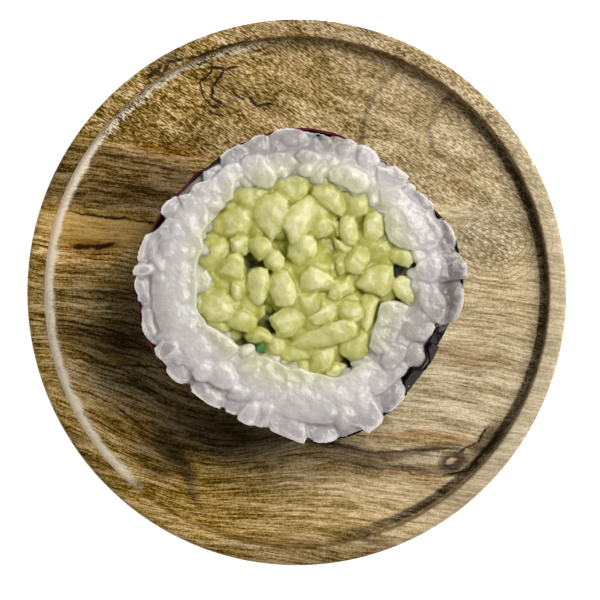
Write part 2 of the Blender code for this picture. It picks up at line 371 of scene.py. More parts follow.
pored = add(wood, "Mix", {0: overlap(pores, 0.8), 6: light_wood, 7: dark_wood}, data_type="RGBA")
faded = add(wood, "Math", [low_fine, 0.35, 0.62], operation="MULTIPLY_ADD")
lined = add(
    wood, "Mix", {0: overlap(lines, faded), 6: pored, 7: linear("#2c1a08")}, data_type="RGBA"
)

# The rim is browner on the left and paler towards the lower right, and the turned wall on the left
# and upper left carries a pale painted highlight.
lower_right = add(wood, "MapRange", [blend((height[0], 1.0), (height[1], -0.2)), 20, 34], **smooth)
rimmed = add(
    wood,
    "Mix",
    {0: overlap(on_rim, lower_right, 0.5), 6: lined, 7: linear("#bfb093")},
    data_type="RGBA",
)
patches = add(wood, "TexNoise", {"Vector": flat_place, "Scale": 1 / 2.6, "Detail": 3})
ragged = blend((height[2], 1.0), (patches, 1.0))
floor_mm, top_mm, inner_mm = dish_floor / MM, dish_height / MM, inner / MM
above_floor = add(wood, "MapRange", [ragged, floor_mm + 0.6, floor_mm + 1.1], **smooth)
off_floor = add(wood, "MapRange", [height[2], floor_mm + 0.01, floor_mm + 0.2], **smooth)
below_top = add(wood, "MapRange", [height[2], top_mm - 0.1, top_mm - 0.7], **smooth)
inside_rim = add(wood, "MapRange", [out, inner_mm + 0.5, inner_mm + 0.1], **smooth)
wall = overlap(above_floor, off_floor, below_top, inside_rim)
far_left = add(
    wood, "MapRange", [blend((height[0], -0.996), (height[1], -0.087)), 25, 28.5], **smooth
)
far_left = overlap(far_left, add(wood, "Math", [tone, 0.4, 0.75], operation="MULTIPLY_ADD"))
upper_left = add(wood, "MapRange", [blend((height[0], -0.62), (height[1], 0.78)), 28, 34], **smooth)
upper_left = overlap(upper_left, add(wood, "Math", [tone, 1.7, -0.1], operation="MULTIPLY_ADD"))
# A pale painted highlight on the wall, on the left and upper left.
painted_wall_highlight = overlap(wall, add(wood, "Math", [far_left, upper_left], operation="MAXIMUM"))
painted_wall_highlight = overlap(painted_wall_highlight, add(wood, "Math", [upper, -0.25, 1.0], operation="MULTIPLY_ADD"))
walled = add(wood, "Mix", {0: painted_wall_highlight, 6: rimmed, 7: linear("#fff4dc")}, data_type="RGBA")

# Painted shadow: the rim's shadow, darkened into the corner where the wall on the right meets the
# floor.
past_fillet = add(wood, "MapRange", [out, inner_mm - 1.4, inner_mm - 1.0], **smooth)
before_wall = add(wood, "MapRange", [out, inner_mm + 0.1, inner_mm - 0.2], **smooth)
on_right = add(wood, "MapRange", [blend((height[0], 1.0), (height[1], -0.25)), 12, 26], **smooth)
rim_shadow_strength = add(wood, "Math", [tone, -0.5, 1.05], operation="MULTIPLY_ADD")
painted_rim_shadow = overlap(past_fillet, before_wall, on_right, rim_shadow_strength)
rim_shadowed = add(wood, "Mix", {0: painted_rim_shadow, 6: walled, 7: linear("#20160a")}, data_type="RGBA")
wood.node_tree.links.new(rim_shadowed.outputs[2], wood_shader.inputs["Base Color"])
wood_shader.inputs["Roughness"].default_value = 0.5
wood_shader.inputs["Specular IOR Level"].default_value = 0.06
relief = blend((tone, 0.3), (pores, -1.0))
bump = add(wood, "Bump", {"Height": relief, "Strength": 0.25, "Distance": 0.05 * MM})
wood.node_tree.links.new(bump.outputs[0], wood_shader.inputs["Normal"])
dish.data.materials.append(wood)

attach(dish, "root")
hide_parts("board")

# ------------------------------------------------------------------ the seaweed
# One sheet of roasted seaweed, wrapped once round the rice with its ends lapped at the lower
# right. Damp rice has softened it, so it takes the shape of the grains behind it, and its cut
# edge is ragged.

seaweed_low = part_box("nori")[0]
roll_foot = seaweed_low.z
roll_centre = Vector((0.4, 1.1)) * MM
roll_top = roll_foot + 25.0 * MM
roll_waves = ((2, 0.63, -8), (3, 0.31, -53), (4, 0.72, 9), (5, 0.32, 4))
seam, lap = radians(-62), radians(38)
seaweed_height = 23.5 * MM
rice_inset = 0.55 * MM


def eased(x):
    """0 below 0, 1 above 1, and a smooth rise between."""
    x = min(1.0, max(0.0, x))
    return x * x * (3 - 2 * x)


def roll_edge(angle):
    """The roll's radius at this angle round its middle, outside the seaweed."""
    waves = sum(size * cos(n * (angle - radians(peak))) for n, size, peak in roll_waves)
    return (22.35 + waves) * MM


def near_angle(angle, middle, half_width):
    """1 in the middle of a stretch of the roll's outline, in degrees, and 0 outside it."""
    off = (angle - radians(middle) + pi) % tau - pi
    return eased(2 * (1 - abs(off) / radians(half_width)))


# Where the rice falls short of the seaweed's edge: direction, half width, and by how much.
bare_stretches = (
    (-22, 9, 2.3),
    (-40, 6, 2.0),
    (84, 7, 1.0),
    (126, 5, 1.2),
    (138, 8, 1.6),
    (157, 5, 1.5),
    (188, 7, 0.9),
    (207, 6, 0.9),
)


def bareness(angle):
    """How far the rice falls short of the seaweed at this angle, in metres."""
    return sum(near_angle(angle, middle, half) * gap for middle, half, gap in bare_stretches) * MM


start_clean()
bpy.ops.mesh.primitive_grid_add(x_subdivisions=400, y_subdivisions=34, size=1)
seaweed = bpy.context.object
seaweed.name = "seaweed"
for vertex in seaweed.data.vertices:
    turn = (vertex.co.x + 0.5) * (tau + lap)
    up = vertex.co.y + 0.5
    angle = seam + turn
    curl = 1.2 * near_angle(angle, -21, 10) + 1.2 * near_angle(angle, -40, 6)
    ragged = noise.noise(Vector((angle * 9, 0, 1))) * 0.3
    ragged += noise.noise(Vector((angle * 40, 0, 5))) * 0.14
    top = seaweed_height + ragged * MM + 1.3 * MM * near_angle(angle, -31, 14)
    height = up * top
    under = 1 - eased((turn - lap) / radians(24))
    dent = Vector((cos(angle) * 9, sin(angle) * 9, height / (2.6 * MM)))
    relief = 0.22 * noise.noise(dent) + 0.08 * noise.noise(dent * 2.7)
    radius = roll_edge(angle) - 0.3 * MM - under * 0.55 * MM + relief * MM * (1 - 0.6 * under)
    radius -= curl * MM * eased((height - top + 2.6 * MM) / (2.4 * MM))
    spot = roll_centre + radius * Vector((cos(angle), sin(angle)))
    vertex.co = (*spot, roll_foot + height)
wall = seaweed.modifiers.new("thickness", "SOLIDIFY")
wall.thickness = 0.3 * MM
wall.offset = 0
bpy.ops.object.modifier_apply(modifier="thickness")
bpy.ops.object.mode_set(mode="EDIT")
bpy.ops.mesh.select_all(action="SELECT")
bpy.ops.mesh.normals_make_consistent(inside=False)
bpy.ops.object.mode_set(mode="OBJECT")
bpy.ops.object.shade_smooth_by_angle(angle=radians(50))

laver, laver_shader = new_material("damp roasted laver")
place = add(laver, "TexCoord").outputs["Object"]
blotch = add(laver, "TexNoise", {"Vector": place, "Scale": 420, "Detail": 4})
inputs = {0: blotch, 6: linear("#040302"), 7: linear("#200b0c")}
laver_colour = add(laver, "Mix", inputs, data_type="RGBA").outputs[2]
laver_place = add(laver, "Mapping", {"Vector": place, "Scale": in_mm}).outputs[0]

# Near the cut edge the sheet is thin and wet, and light shows it maroon.
laver_height = add(laver, "SeparateXYZ", {"Vector": place}).outputs["Z"]
for x, y, length, width in ((-21, 4, 16, 46), (2, 24, 14, 6)):
    thin = oval(laver, laver_place, x, y, length, width, 0, 0.4, 0.75)
    inputs = {"Value": laver_height, "From Min": roll_top - 4 * MM, "From Max": roll_top - 2 * MM}
    inputs["To Max"] = thin
    share = add(laver, "MapRange", inputs).outputs[0]
    inputs = {0: share, 6: laver_colour, 7: linear("#611420")}
    laver_colour = add(laver, "Mix", inputs, data_type="RGBA").outputs[2]
crinkle = add(laver, "TexNoise", {"Vector": laver_place, "Scale": 0.9, "Detail": 5, "Distortion": 0.6})
inputs = {"Height": crinkle.outputs[0], "Strength": 0.6, "Distance": 0.35 * MM}
creased = add(laver, "Bump", inputs).outputs[0]
laver.node_tree.links.new(creased, laver_shader.inputs["Normal"])
laver.node_tree.links.new(laver_colour, laver_shader.inputs["Base Color"])
laver_shader.inputs["Roughness"].default_value = 0.45
laver_shader.inputs["Specular IOR Level"].default_value = 0.12
seaweed.data.materials.append(laver)

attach(seaweed, "root")
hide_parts("nori")

# ------------------------------------------------------------------ the rice
# Steamed short-grain rice. The roll was cut with a wet knife, so the inner grains are crushed
# into one pale mass, and whole grains stand out of it and bulge over the seaweed's edge.

fill_centre = roll_centre + Vector((0.4, 1.7)) * MM
fill_waves = ((2, 0.75, -10), (4, 0.55, 16), (5, 0.5, -3))


def fill_edge(angle):
    """A point on the line between rice and cucumber, at this angle round the cucumber's middle."""
    radius = 15.1 + sum(size * cos(n * (angle - radians(peak))) for n, size, peak in fill_waves)
    return fill_centre + radius * MM * Vector((cos(angle), sin(angle)))


def ring_spot(angle, share):
    """A point in the ring of rice, from the cucumber's edge, share 0, to the seaweed, share 1."""
    outside = roll_centre + (roll_edge(angle) - rice_inset) * Vector((cos(angle), sin(angle)))
    return fill_edge(angle).lerp(outside, share)


def ring_of_rice(name, steps, heights):
    """A closed ring that fills the space between cucumber and seaweed.
    heights gives, for each point round the section, its share across and its height."""
    start_clean()
    bpy.ops.mesh.primitive_torus_add(
        major_segments=steps, minor_segments=len(heights), major_radius=1, minor_radius=0.25
    )
    ring = bpy.context.object
    ring.name = name
    for index, vertex in enumerate(ring.data.vertices):
        angle = tau * (index // len(heights)) / steps
        share, height = heights[index % len(heights)]
        spot = ring_spot(angle, share)
        vertex.co = (*spot, height)
    bpy.ops.object.mode_set(mode="EDIT")
    bpy.ops.mesh.select_all(action="SELECT")
    bpy.ops.mesh.normals_make_consistent(inside=False)
    bpy.ops.object.mode_set(mode="OBJECT")
    return ring


core_section = [
    (1.0, roll_foot),
    (1.0, roll_foot + 12 * MM),
    (1.0, roll_top - 2.6 * MM),
    (0.75, roll_top - 2.0 * MM),
    (0.5, roll_top - 1.9 * MM),
    (0.25, roll_top - 2.0 * MM),
    (0.0, roll_top - 3.0 * MM),
    (0.0, roll_foot + 12 * MM),
    (0.0, roll_foot),
    (0.5, roll_foot),
]
rice_core = ring_of_rice("rice_core", 120, core_section)
bpy.ops.object.shade_smooth_by_angle(angle=radians(50))


def slab(outline, top, shoulder, dome, deep, shift, lean):
    """One grain or piece that the knife has cut across, from its outline on the cut, in mm.
    top is its height above the roll's top, shoulder the radius of its edge, dome how far its
    middle stands above that edge, deep how far down it goes and shift where its peak lies."""
    start_clean()
    bpy.ops.mesh.primitive_circle_add(vertices=len(outline), radius=1, fill_type="NGON")
    piece = bpy.context.object
    for vertex, (x, y) in zip(piece.data.vertices, outline):
        vertex.co = (x, y, top - deep)
    x = sum(p[0] for p in outline) / len(outline)
    y = sum(p[1] for p in outline) / len(outline)
    reach = sum(sqrt((p[0] - x) ** 2 + (p[1] - y) ** 2) for p in outline) / len(outline)
    bpy.ops.object.mode_set(mode="EDIT")
    bpy.ops.mesh.select_all(action="SELECT")
    bpy.ops.transform.resize(value=(0.8, 0.8, 1), center_override=(x, y, 0))
    full = 1 + 0.26 / reach
    steps = (
        (full, deep * 0.5),
        (full, deep * 0.5 - shoulder - dome),
        (full - 0.3 * shoulder / reach, shoulder * 0.7),
        (full - shoulder / reach, shoulder * 0.3),
        ((full - shoulder / reach) * 0.5, dome),
    )
    size = 0.8
    for after, rise in steps:
        bpy.ops.mesh.extrude_region_move(TRANSFORM_OT_translate={"value": (0, 0, rise)})
        grow = after / size
        bpy.ops.transform.resize(value=(grow, grow, 1), center_override=(x, y, 0))
        size = after
    bpy.ops.transform.translate(value=(shift[0] * reach, shift[1] * reach, 0))
    bpy.ops.mesh.select_all(action="SELECT")
    bpy.ops.mesh.normals_make_consistent(inside=False)
    bpy.ops.object.mode_set(mode="OBJECT")
    for vertex in piece.data.vertices:
        px, py, pz = vertex.co
        pz += lean[0] * (px - x) + lean[1] * (py - y)
        vertex.co = (px * MM, py * MM, roll_top + pz * MM)
    return piece


def pebble(x, y, top, length, width, turn):
    """A whole grain, a plump oval, lying with its highest point at top. In millimetres."""
    start_clean()
    bpy.ops.mesh.primitive_ico_sphere_add(subdivisions=3, radius=1)
    piece = bpy.context.object
    height = width * 0.42
    size = Matrix.Diagonal((length / 2, width / 2, height, 1))
    place = Matrix.Translation((x, y, top - height))
    piece.data.transform(place @ Matrix.Rotation(radians(turn), 4, "Z") @ size)
    for vertex in piece.data.vertices:
        vertex.co = (vertex.co.x * MM, vertex.co.y * MM, roll_top + vertex.co.z * MM)
    return piece


# The grains that show, each its height above the cut and its outline, anticlockwise or not.
grain_outlines = [
    # upper left
    (0.0, (-14.6, 14.4), (-14.2, 15.3), (-13.4, 15.2), (-12.2, 16), (-11.2, 16.7), (-10.6, 15.4),
     (-10.4, 13.8), (-11.6, 12.4), (-13, 11.7), (-14, 13)),
    (0.05, (-11.2, 16.8), (-9.9, 18), (-8.6, 18.2), (-7.8, 17.4), (-7.6, 16.7), (-8.9, 15.6),
     (-9.2, 13.6), (-10.2, 13.2), (-10.8, 14.4)),
    (0.0, (-16, 13.1), (-15, 13.5), (-14.3, 13.6), (-13.4, 12.8), (-12.7, 11.4), (-12.9, 9.9),
     (-14, 9.7), (-15.1, 10.3), (-15.8, 11.6)),
    (-0.6, (-19.6, 11.3), (-19.2, 12.4), (-18.4, 13.1), (-17.2, 13.4), (-16.1, 13), (-15.8, 11.6),
     (-15.4, 10.6), (-16.6, 10), (-18, 10.3), (-18.9, 10.8)),
    (-1.1, (-16.4, 14.2), (-15.8, 15.2), (-14.7, 16.2), (-13.9, 15.6), (-14.5, 14.4),
     (-14.5, 13.6), (-15.6, 13.3), (-16.4, 13.3)),
    (-0.9, (-14.2, 16.8), (-13.4, 18), (-12.4, 18.9), (-11.7, 19.3), (-11.1, 18.6), (-11.4, 17.6),
     (-12, 16.6), (-13.2, 15.5), (-14, 15.8)),
    (-0.8, (-11.2, 19.3), (-10.2, 20.3), (-9, 20.9), (-7.8, 21), (-7, 20.4), (-7.1, 19.4),
     (-8, 18.5), (-9.6, 18), (-10.6, 17.5), (-11.4, 18)),
    # top
    (0.1, (-7.7, 18.6), (-7, 19.2), (-5.6, 19.5), (-4.6, 19.2), (-4.3, 18.2), (-3.4, 17.3),
     (-3, 16.4), (-3.6, 15.3), (-4.6, 14.9), (-5.6, 15.1), (-6.5, 16), (-7.4, 16.8)),
    (-0.4, (-4.4, 19.5), (-3, 19.9), (-1.6, 19.9), (-0.3, 19.5), (-0.1, 18.4), (-0.8, 17.6),
     (-2, 17.3), (-3.2, 17.2), (-4.1, 17.8)),
    (-0.8, (-7.2, 20.9), (-6.4, 22), (-5.2, 22.4), (-4, 22.2), (-3.4, 21.4), (-3.2, 20.4),
     (-4.2, 19.8), (-5.6, 19.7), (-6.9, 19.8)),
    (-0.8, (-3.8, 22.4), (-3, 23.2), (-1.6, 23.5), (-0.2, 23.4), (1.1, 22.9), (1.8, 21.8),
     (1.4, 20.7), (0.2, 20.4), (-1.2, 20.4), (-2.6, 20.4), (-3.5, 21.2)),
    (0.2, (0, 19.4), (0.8, 20.1), (1.8, 20.1), (2.9, 19.7), (3.4, 19), (2.8, 18.2), (2, 17.7),
     (1, 18.3)),
    (0.15, (0.2, 17.6), (0.9, 18.2), (1.9, 18.4), (2.2, 17.6), (1.9, 16.7), (1.2, 16.6), (0.5, 17)),
    (-0.3, (2.2, 18), (2.9, 18.1), (3.8, 17.6), (3.9, 16.6), (3.6, 15.7), (2.8, 15.7), (2, 16.2)),
    (-1.0, (2.2, 21.8), (3.4, 22.4), (4.6, 22.1), (5.3, 21.4), (5.1, 20.3), (4.6, 19.5),
     (3.2, 20), (2.3, 20.8)),
    (-0.6, (5.2, 21), (6, 21.5), (7.3, 21.6), (8.3, 21), (8.2, 19.8), (7.6, 18.9), (6.8, 18.3),
     (6, 18.1), (5.4, 18.9), (5.2, 19.9)),
    (-0.4, (4.1, 18.2), (5, 18.8), (5.7, 18.3), (5.4, 17.8), (4.7, 17.2), (4.2, 16.6), (3.9, 17.3)),
    (0.0, (4.6, 17.1), (5.4, 17.9), (7, 18), (8.6, 17.6), (9.8, 16.8), (10.3, 15.6), (9.8, 14.7),
     (8.6, 14.3), (7.4, 14.7), (6.2, 15.4), (5, 15.9)),
    # upper right
    (-0.6, (8.3, 20.6), (9.2, 20.9), (10.4, 20.7), (11.2, 19.9), (11.5, 18.8), (11.4, 17.6),
     (10.9, 16.6), (10, 16.5), (9, 17.2), (8.3, 18.2), (8.1, 19.4)),
    (-1.1, (11.2, 20.2), (12.2, 19.9), (13.3, 19.1), (14.4, 18.2), (13.5, 17.5), (12.4, 17.9),
     (11.6, 18.4)),
    (-0.4, (11.6, 17.9), (12.6, 17.7), (13.8, 17.5), (15.1, 17.2), (15.6, 16.4), (15.4, 15.2),
     (14.4, 14.8), (13, 14.8), (12, 15.2), (11.6, 16.4)),
    (-0.9, (15.7, 16.1), (17.1, 15.5), (18.3, 14.7), (19.2, 13.8), (19.7, 12.6), (19.6, 11.6),
     (18.4, 11.5), (17.2, 12.2), (16.2, 12.8), (15.4, 14)),
    (-0.05, (12.1, 14.5), (13.4, 14.9), (14.8, 14.7), (15.3, 13.6), (15.3, 12.6), (16.4, 12.2),
     (17.4, 11.6), (16.4, 11), (15, 11.8), (13.4, 11.8), (12.2, 12.6)),
    (0.05, (12.6, 10.4), (13.4, 11.6), (15, 11.8), (16.4, 11), (17.4, 10), (17.6, 8.8), (17.8, 7.4),
     (17.3, 6.4), (16, 6.2), (14.6, 6.6), (13.4, 7.4), (12.8, 8.8)),
    (-0.15, (17.4, 10.2), (18.6, 11.2), (19.4, 10.4), (20.6, 9), (20.6, 7.8), (20, 6.6), (18.8, 6.1),
     (17.6, 6.3), (18, 7.6), (17.8, 9)),
    (-0.8, (20.1, 10.2), (20.9, 10.6), (21.8, 10.1), (22.4, 9), (22.7, 7.8), (22.7, 6.8),
     (21.6, 6.6), (20.8, 7.4), (20.6, 8.6)),
    # right
    (0.1, (17, 3.2), (17.5, 4.2), (18.3, 4.7), (19.5, 4.9), (20.4, 4.6), (20.6, 3.6), (20.3, 2.4),
     (19.8, 1.8), (18.8, 1.6), (17.6, 2.1)),
    (-0.8, (19, 5.1), (20.2, 5.8), (21.6, 6), (22.8, 5.6), (23.2, 4.8), (22.4, 4.4), (21.4, 4.2),
     (20.4, 4.7)),
    (-0.3, (20.6, 4.5), (21.6, 4.1), (22.7, 4.5), (23.6, 4.2), (23.9, 3.2), (23.9, 2), (23, 1.8),
     (22, 1.7), (20.9, 1.4), (20.1, 1.7), (20.4, 3)),
    (-0.1, (17.3, 1.9), (18.6, 1.6), (19.5, 1.1), (20.3, 0.2), (21.1, -0.8), (21.4, -2), (21, -3.3),
     (20.1, -4.1), (19.2, -3.8), (18.3, -2.8), (17.6, -1.6), (17.6, 0)),
    (-0.9, (21.6, 0.9), (22.4, 1.7), (23.6, 1.4), (24.2, 0.4), (24.3, -1), (23.9, -2.8),
     (23.2, -4.4), (22.2, -5.9), (21.2, -5.5), (20.8, -4.3), (21.7, -2.8), (21.8, -1), (21.4, 0)),
    (0.0, (12.1, -1.8), (13, -1.5), (14.2, -1.5), (15.2, -1.9), (15.8, -2.3), (15.3, -4.2),
     (14.6, -5.8), (13.8, -7.4), (13, -8.3), (11.6, -8.8), (10.5, -7.6), (10.9, -5.6), (11.6, -3.6)),
    (-0.3, (16.2, -3.4), (17.2, -3), (18.4, -2.9), (19.1, -3.6), (19, -4.8), (18.6, -5.8),
     (17.8, -6.6), (16.8, -6.9), (15.8, -6.5), (15.3, -5.4), (15.6, -4.2)),
    (-0.6, (16.4, -7.3), (17.6, -7.1), (18.6, -6.2), (19.6, -5.7), (20.3, -6.2), (20, -7.3),
     (19.3, -8.4), (19.3, -9.6), (18.7, -11), (17.9, -11.6), (16.9, -11.5), (16.1, -10.6),
     (15.7, -9.2), (15.8, -8)),
    (0.1, (13.2, -7.8), (14, -7.4), (15, -7.7), (15.6, -8.3), (15.4, -9.2), (14.8, -10),
     (13.9, -10.8), (12.8, -10.9), (12.1, -10), (12.5, -8.8)),
    (-0.15, (11.2, -10.8), (12.2, -11.1), (13.4, -11.1), (14.4, -10.7), (15.2, -10.1),
     (15.5, -10.8), (15, -11.8), (13.8, -13), (12.6, -14.1), (11.5, -14.6), (10.7, -13.8),
     (10.4, -12.6), (10.8, -11.6)),
    (-0.7, (14.6, -12.5), (15.4, -12.7), (16.1, -13.2), (16.3, -14.1), (15.8, -15.2), (14.8, -16.1),
     (13.8, -16.9), (13, -17.5), (12, -16.9), (11.8, -15.8), (12.6, -14.5), (13.6, -13.4)),
    (0.0, (8.2, -11), (9.2, -10.3), (10.4, -10.1), (10.9, -10.8), (10.5, -12), (10.1, -13),
     (9.2, -14), (8, -14.2), (7.1, -13.4), (7.2, -12)),
    (-0.35, (7, -15), (8.4, -14.5), (9.6, -14.6), (10.6, -15.3), (11.4, -16.2), (12, -17.4),
     (12.2, -18.7), (11.2, -19.4), (10, -19.7), (8.8, -19.2), (7.6, -18.9), (6.6, -18), (6.3, -16.4)),
    # bottom
    (-0.5, (-3.4, -15), (-2.2, -15.4), (-1, -16.3), (0.4, -16.6), (1.4, -17.1), (1, -18.4),
     (1.2, -20), (0.9, -21.3), (-0.2, -21.1), (-1.3, -20.3), (-2.4, -19.7), (-3.5, -19.2),
     (-4, -18), (-3.9, -16.4)),
    (0.1, (-8, -17.2), (-7.2, -16.2), (-6.2, -15.8), (-5.5, -16.2), (-5.5, -17.2), (-6, -18.4),
     (-6.8, -19), (-7.6, -18.9), (-8.2, -18.1)),
    (-0.1, (-5.3, -16.3), (-4.6, -15.7), (-3.8, -16), (-3.4, -16.6), (-3.9, -17.7), (-4.2, -18.6),
     (-4.9, -18.8), (-5.7, -18.4), (-5.5, -17.2)),
    (-0.8, (1.4, -19.9), (2.6, -19.4), (3.6, -19.1), (4.6, -19.5), (5.6, -19.8), (6, -20.6),
     (5.6, -21.5), (4.4, -21.9), (3, -21.9), (1.9, -21.2)),
    (-1.0, (6.1, -21.4), (6.6, -20.7), (7.6, -20.4), (8.3, -20.6), (8, -21.1), (7, -21.6)),
    (-0.8, (-15.1, -13.7), (-14.5, -12.9), (-13.2, -13.1), (-11.8, -13.9), (-10.6, -14.5),
     (-10.2, -15.6), (-10.5, -16.8), (-11.8, -16.5), (-13.2, -15.8), (-14.4, -14.8)),
    (-0.7, (-10.5, -14.3), (-9.4, -13.8), (-8, -14), (-6.2, -14.4), (-4.5, -14.9), (-3.8, -15.4),
     (-4.8, -15.7), (-6.2, -15.9), (-7.4, -16.3), (-8.2, -17.3), (-9.2, -17.4), (-10.2, -16.9)),
    # lower left
    (0.05, (-14.7, -5), (-14.2, -4.4), (-13, -4.7), (-11.6, -5.4), (-10.4, -6.2), (-9.3, -6.9),
     (-8.5, -7.8), (-9, -8.7), (-10.2, -9.5), (-11.3, -9.7), (-12.6, -8.8), (-13.6, -7.6),
     (-14.4, -6.2)),
    (-0.3, (-17, -7.6), (-16, -7.1), (-14.8, -7.1), (-13.6, -7.7), (-13, -8.5), (-13.3, -9.4),
     (-14.4, -9.9), (-15.8, -10), (-17.2, -9.7), (-17.9, -8.8)),
    (0.0, (-19.9, -8.9), (-19.7, -8), (-19.2, -7.1), (-18.2, -6.9), (-17.3, -7), (-16.9, -7.5),
     (-17.4, -8.4), (-18.2, -9.1), (-19, -9.3), (-19.6, -9.6)),
    (-0.7, (-18.5, -10.6), (-18.1, -9.7), (-17, -9.9), (-15.6, -10.1), (-14.6, -10.4),
     (-14.8, -11.4), (-15.4, -12.7), (-16.4, -12.8), (-17.5, -12.4), (-18.2, -11.6)),
    (0.1, (-14.3, -10.4), (-13.4, -10.1), (-12.4, -10.3), (-11.9, -10.8), (-12.1, -11.7),
     (-12.6, -12.5), (-13.5, -12.6), (-14.4, -12.4), (-14.7, -11.6)),
    (0.15, (-12, -11), (-11, -10.3), (-10, -10.6), (-9.2, -11.4), (-9.1, -12.6), (-9.6, -13.5),
     (-10.5, -13.8), (-11.6, -13.5), (-12.4, -12.7), (-12.2, -11.9)),
    # left
    (-0.6, (-21.8, 6.8), (-21.4, 8), (-20.8, 8.7), (-19.6, 9.3), (-18.3, 9.7), (-18.2, 8.9),
     (-19.4, 7.2), (-20.2, 5.8), (-20.5, 4.8), (-21.4, 4.4), (-22.2, 4.5), (-22.1, 5.6)),
    (0.1, (-23, 2.9), (-22.7, 3.6), (-21.9, 3.9), (-20.9, 3.8), (-20.6, 3.1), (-21.1, 2.6),
     (-22, 2.4), (-22.7, 2.5)),
    (-0.7, (-23.4, 0.8), (-23.3, 1.7), (-22.7, 2.3), (-21.8, 2.2), (-21.3, 1.2), (-21.1, -0.4),
     (-20.9, -1.4), (-21.6, -1.8), (-22.4, -1.5), (-23, -0.7)),
    (-0.8, (-22.4, -2), (-21.4, -1.5), (-20.8, -1.2), (-20.5, -2.4), (-20.6, -4), (-20.4, -5.6),
     (-19.9, -6.8), (-20.4, -7.3), (-21.2, -6.6), (-21.8, -5.2), (-22.3, -3.6)),
    (-0.3, (-15.2, 1.6), (-14, 2.6), (-13, 3), (-12.4, 1.8), (-12.7, 0.7), (-13.7, 0.1), (-15, 0.1)),
]
grains = []
chance = Random(3)
for top, *outline in grain_outlines:
    shift = (chance.uniform(-0.25, 0.25), chance.uniform(-0.25, 0.25))
    lean = (chance.uniform(-0.04, 0.04), chance.uniform(-0.04, 0.04))
    low = top < -0.5
    grains.append(slab(outline, top, 0.6 if low else 0.3, 0.25 if low else 0.08, 2.2, shift, lean))

# Whole grains below, which show only in the gaps.
for _ in range(240):
    angle = chance.uniform(0, tau)
    share = chance.uniform(0.08, 0.95)
    spot = ring_spot(angle, share) / MM
    top = -0.45 - chance.uniform(0, 0.5) - 0.45 * share
    length, width = chance.uniform(4.4, 6.4), chance.uniform(2.4, 3.2)
    grains.append(pebble(spot.x, spot.y, top, length, width, chance.uniform(0, 180)))

# Crushed grains that stand a little out of the pale mass on the left and at the bottom.
for start, end, count in ((142, 222, 34), (236, 298, 22)):
    for _ in range(count):
        angle = radians(chance.uniform(start, end))
        spot = ring_spot(angle, chance.uniform(0.1, 0.75)) / MM
        top, turn = chance.uniform(0.02, 0.14), chance.uniform(0, 180)
        length, width = chance.uniform(3, 5), chance.uniform(2.2, 3.2)
        grains.append(pebble(spot.x, spot.y, top, length, width, turn))

# Grains and crumbs that break the inner edge of the mass.
for _ in range(64):
    angle = chance.uniform(0, tau)
    spot = ring_spot(angle, chance.uniform(-0.04, 0.16)) / MM
    top, turn = -chance.uniform(0.05, 0.6), chance.uniform(0, 180)
    length, width = chance.uniform(2.2, 4.2), chance.uniform(1.6, 2.4)
    grains.append(pebble(spot.x, spot.y, top, length, width, turn))

bed_section = [
    (0.98, roll_top - 4.2 * MM),
    (0.98, roll_top - 2.9 * MM),
    (0.75, roll_top - 1.5 * MM),
    (0.5, roll_top - 0.6 * MM),
    (0.25, roll_top - 0.5 * MM),
    (0.06, roll_top - 0.75 * MM),
    (-0.05, roll_top - 1.3 * MM),
    (-0.07, roll_top - 2.8 * MM),
    (0.0, roll_top - 4.2 * MM),
    (0.5, roll_top - 4.2 * MM),
]
bed = ring_of_rice("rice", 240, bed_section)
for index, vertex in enumerate(bed.data.vertices):
    if bed_section[index % len(bed_section)][0] < 0.3:
        inwards = (fill_centre - vertex.co.xy).normalized()
        vertex.co.xy += inwards * 1.0 * MM * noise.noise(vertex.co / (2.6 * MM))
    spot = vertex.co.xy - roll_centre
    angle = atan2(spot.y, spot.x)
    crushed = near_angle(angle, -178, 48) + near_angle(angle, -90, 40) + near_angle(angle, 30, 16)
    if vertex.co.z > roll_top - 1.6 * MM:
        rise = 0.6 if vertex.co.z > roll_top - 1.0 * MM else 1.2
        vertex.co.z += rise * MM * min(crushed * 1.6, 1)

start_clean()
for piece in grains + [bed]:
    piece.select_set(True)
bpy.context.view_layer.objects.active = bed
bpy.ops.object.join()
rice = bpy.context.object
rice.name = "rice_grains"

# Pressed out against the seaweed below its edge, and bulging a little over it above.
seaweed_top = roll_foot + seaweed_height
for vertex in rice.data.vertices:
    out = vertex.co.xy - roll_centre
    angle = atan2(out.y, out.x)
    over = eased((vertex.co.z - seaweed_top - 0.1 * MM) / (0.5 * MM))
    limit = roll_edge(angle) - rice_inset - 0.5 * MM * near_angle(angle, -43, 26)
    limit += 1.15 * MM * over - bareness(angle)
    far = out.length - limit
    if far > 0:
        vertex.co.xy = roll_centre + out * (limit + 0.12 * far) / out.length
    elif far > -1.3 * MM and vertex.co.z > seaweed_top - 0.6 * MM:
        reach = limit + 0.35 * far + 0.25 * MM * noise.noise(vertex.co / (2.2 * MM))
        vertex.co.xy = roll_centre + out * reach / out.length


def fuse(piece, voxel, smoothing, share, grit, lumps):
    """Melts touching pieces into one closed skin with soft creases.
    grit and lumps are how far its fine and its coarse unevenness reach, in millimetres."""
    start_clean()
    piece.select_set(True)
    bpy.context.view_layer.objects.active = piece
    remesh = piece.modifiers.new("fuse", "REMESH")
    remesh.mode = "VOXEL"
    remesh.voxel_size = voxel
    bpy.ops.object.modifier_apply(modifier="fuse")
    soften = piece.modifiers.new("soften", "SMOOTH")
    soften.factor = 0.5
    soften.iterations = smoothing
    bpy.ops.object.modifier_apply(modifier="soften")
    for vertex in piece.data.vertices:
        spot = vertex.co / MM
        push = noise.noise_vector(spot / 0.5) * grit + noise.noise_vector(spot / 1.7) * lumps
        vertex.co += push * MM
    thin = piece.modifiers.new("thin", "DECIMATE")
    thin.ratio = share
    bpy.ops.object.modifier_apply(modifier="thin")
    bpy.ops.object.shade_smooth()


